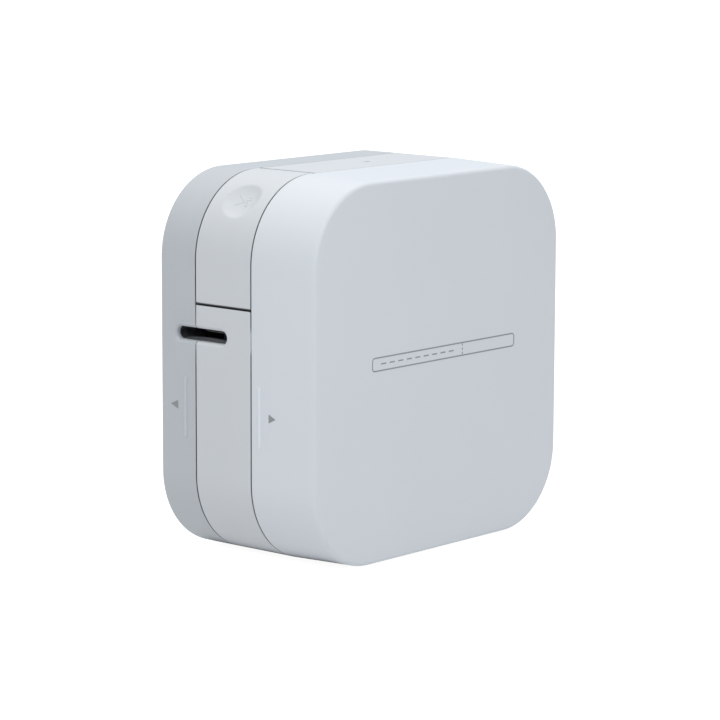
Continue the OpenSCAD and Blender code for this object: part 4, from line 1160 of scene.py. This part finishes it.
lens = {"radius": 1.2, "base": 106.4, "top": 114.9, "collar": 2.2}
profile = [(0, lens["base"]), (0.9, lens["base"]), (1.2, lens["base"] + 0.3), (1.2, 110.0), (2.1, 110.0),
           (2.2, 110.1),
           (2.2, 111.1), (2.1, 111.2), (1.2, 111.2), (1.2, lens["top"] - 0.35)]
profile += [(1.2 * np.cos(t), lens["top"] - 0.35 + 0.3 * np.sin(t)) for t in np.linspace(0.2, np.pi / 2,
    8)[:-1]]
profile += [(0, lens["top"] - 0.05)]
obj = putMesh("statusLens", *lathe(profile, (ports["ledX"], midY, 0), (0, 0, 1), 40), finishOf["lens"])
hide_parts("led_lens")
settle(obj, "chassis")
print("button and lens made")


# stage and light
stage = {"floorSize": 6000.0, "floorTone": 0.30, "floorGlow": 0.50, "seenGlow": 0.45, "fade": 5.0,
         "shadeX": 16.0, "shadeY": 6.0}


# Pale table: it glows by the distance past the footprint / fade, so the light comes from beside the object
def makeFloor():
    half = stage["floorSize"] / 2
    t = np.linspace(-half, half, 3)
    x, y = np.meshgrid(t, t, indexing="ij")
    pts = np.stack([x, y, np.full_like(x, -0.02)], -1)
    mat, tree, skin, place = newMaterial("floor_paper")
    tone = stage["floorTone"]
    slow = noise(tree, place, 3, 2)
    tree.links.new(ramp(tree, slow, [(0.3, (tone,) * 3), (0.7, (tone + 0.01,) * 3)]),
                   skin.inputs["Base Color"])
    skin.inputs["Roughness"].default_value = 0.9
    skin.inputs["Emission Color"].default_value = (1, 1, 1, 1)
    # the table glows, so shadows on it stay faint, but it lights the object only from beyond its footprint
    split = tree.nodes.new("ShaderNodeSeparateXYZ")
    tree.links.new(place, split.inputs[0])
    away = []
    for axis, size in (("X", shell["width"]), ("Y", shell["depth"])):
        edge = (size / 2 - stage["shade" + axis]) * mm
        past = sums(tree, "SUBTRACT", sums(tree, "ABSOLUTE", split.outputs[axis], 0.0), edge)
        away.append(sums(tree, "POWER", sums(tree, "MAXIMUM", past, 0.0), 2.0))
    off = sums(tree, "POWER", sums(tree, "ADD", *away), 0.5)
    glow = spread(tree, off, 0.0, stage["floorGlow"], 0.0, stage["fade"] * mm)
    seen = tree.nodes.new("ShaderNodeLightPath").outputs["Is Camera Ray"]
    whole = sums(tree, "MULTIPLY", seen, stage["floorGlow"] + stage["seenGlow"])
    tree.links.new(sums(tree, "MAXIMUM", glow, whole), skin.inputs["Emission Strength"])
    skin.inputs["Specular IOR Level"].default_value = 0.0
    putMesh("floor", pts, [gridQuads(3, 3)], mat, smooth=False)


# Soft rectangular lamp turned towards its target
def areaLight(name, place, target, size, power, colour=(1, 1, 1)):
    light = bpy.data.lights.new(name, "AREA")
    light.shape = "RECTANGLE"
    light.size, light.size_y = size
    light.energy = power
    light.color = colour
    obj = bpy.data.objects.new(name, light)
    bpy.context.scene.collection.objects.link(obj)
    place, target = Vector(place), Vector(target)
    obj.location = place
    obj.rotation_euler = (place - target).to_track_quat("Z", "Y").to_euler()
    return obj


sky = {"front": 0.02, "back": 0.6, "top": 1.38, "seen": 1.05,
       "frontTint": (0.86, 0.99, 1.16), "topTint": (1.01, 0.995, 0.975)}


# Light tent: strength = a front-to-back ramp that changes to the ceiling's strength with height; the camera
# sees white
def makeWorld():
    world = bpy.data.worlds.new("tent")
    bpy.context.scene.world = world
    world.use_nodes = True
    tree = world.node_tree
    tree.nodes.clear()
    out = tree.nodes.new("ShaderNodeOutputWorld")
    coord = tree.nodes.new("ShaderNodeTexCoord").outputs["Generated"]

    def along(direction, low, high):
        dot = tree.nodes.new("ShaderNodeVectorMath")
        dot.operation = "DOT_PRODUCT"
        tree.links.new(coord, dot.inputs[0])
        dot.inputs[1].default_value = direction
        step = tree.nodes.new("ShaderNodeMapRange")
        step.interpolation_type = "SMOOTHSTEP"
        step.inputs["From Min"].default_value = low
        step.inputs["From Max"].default_value = high
        tree.links.new(dot.outputs["Value"], step.inputs["Value"])
        return step.outputs[0]

    def blend(fac, a, b):
        mix = tree.nodes.new("ShaderNodeMix")
        mix.data_type = "RGBA"
        tree.links.new(fac, mix.inputs["Factor"])
        for socket, v in (("A", a), ("B", b)):
            if isinstance(v, tuple):
                mix.inputs[socket].default_value = (*v, 1)
            else:
                tree.links.new(v, mix.inputs[socket])
        return mix.outputs["Result"]

    front = tuple(sky["front"] * c for c in sky["frontTint"])
    back = tuple(sky["back"] * c for c in sky["frontTint"])
    top = tuple(sky["top"] * c for c in sky["topTint"])
    ring = blend(along((0.74, 0.67, 0.0), -0.2, 0.8), front, back)
    tent = blend(along((0.0, 0.0, 1.0), 0.15, 0.85), ring, top)
    glow = tree.nodes.new("ShaderNodeBackground")
    tree.links.new(tent, glow.inputs["Color"])
    white = tree.nodes.new("ShaderNodeBackground")
    white.inputs["Strength"].default_value = sky["seen"]
    seen = tree.nodes.new("ShaderNodeMixShader")
    path = tree.nodes.new("ShaderNodeLightPath")
    tree.links.new(path.outputs["Is Camera Ray"], seen.inputs[0])
    tree.links.new(glow.outputs[0], seen.inputs[1])
    tree.links.new(white.outputs[0], seen.inputs[2])
    tree.links.new(seen.outputs[0], out.inputs[0])


makeFloor()
makeWorld()
panels = {
    "frontLeft": {"place": (-0.38, -0.31, 0.30), "size": (0.22, 0.22), "power": 0.43,
                  "tint": (0.93, 0.98, 1.0)},
    "upperLeft": {"place": (-0.40, -0.10, 0.60), "size": (0.4, 0.4), "power": 0.10, "tint": (1.0, 1.0, 1.0)},
}
for name, p in panels.items():
    areaLight(name, p["place"], (0, 0, 0.06), p["size"], p["power"], p["tint"])
bpy.context.scene.view_settings.view_transform = "Standard"
bpy.context.view_layer.update()
print("scene ready")
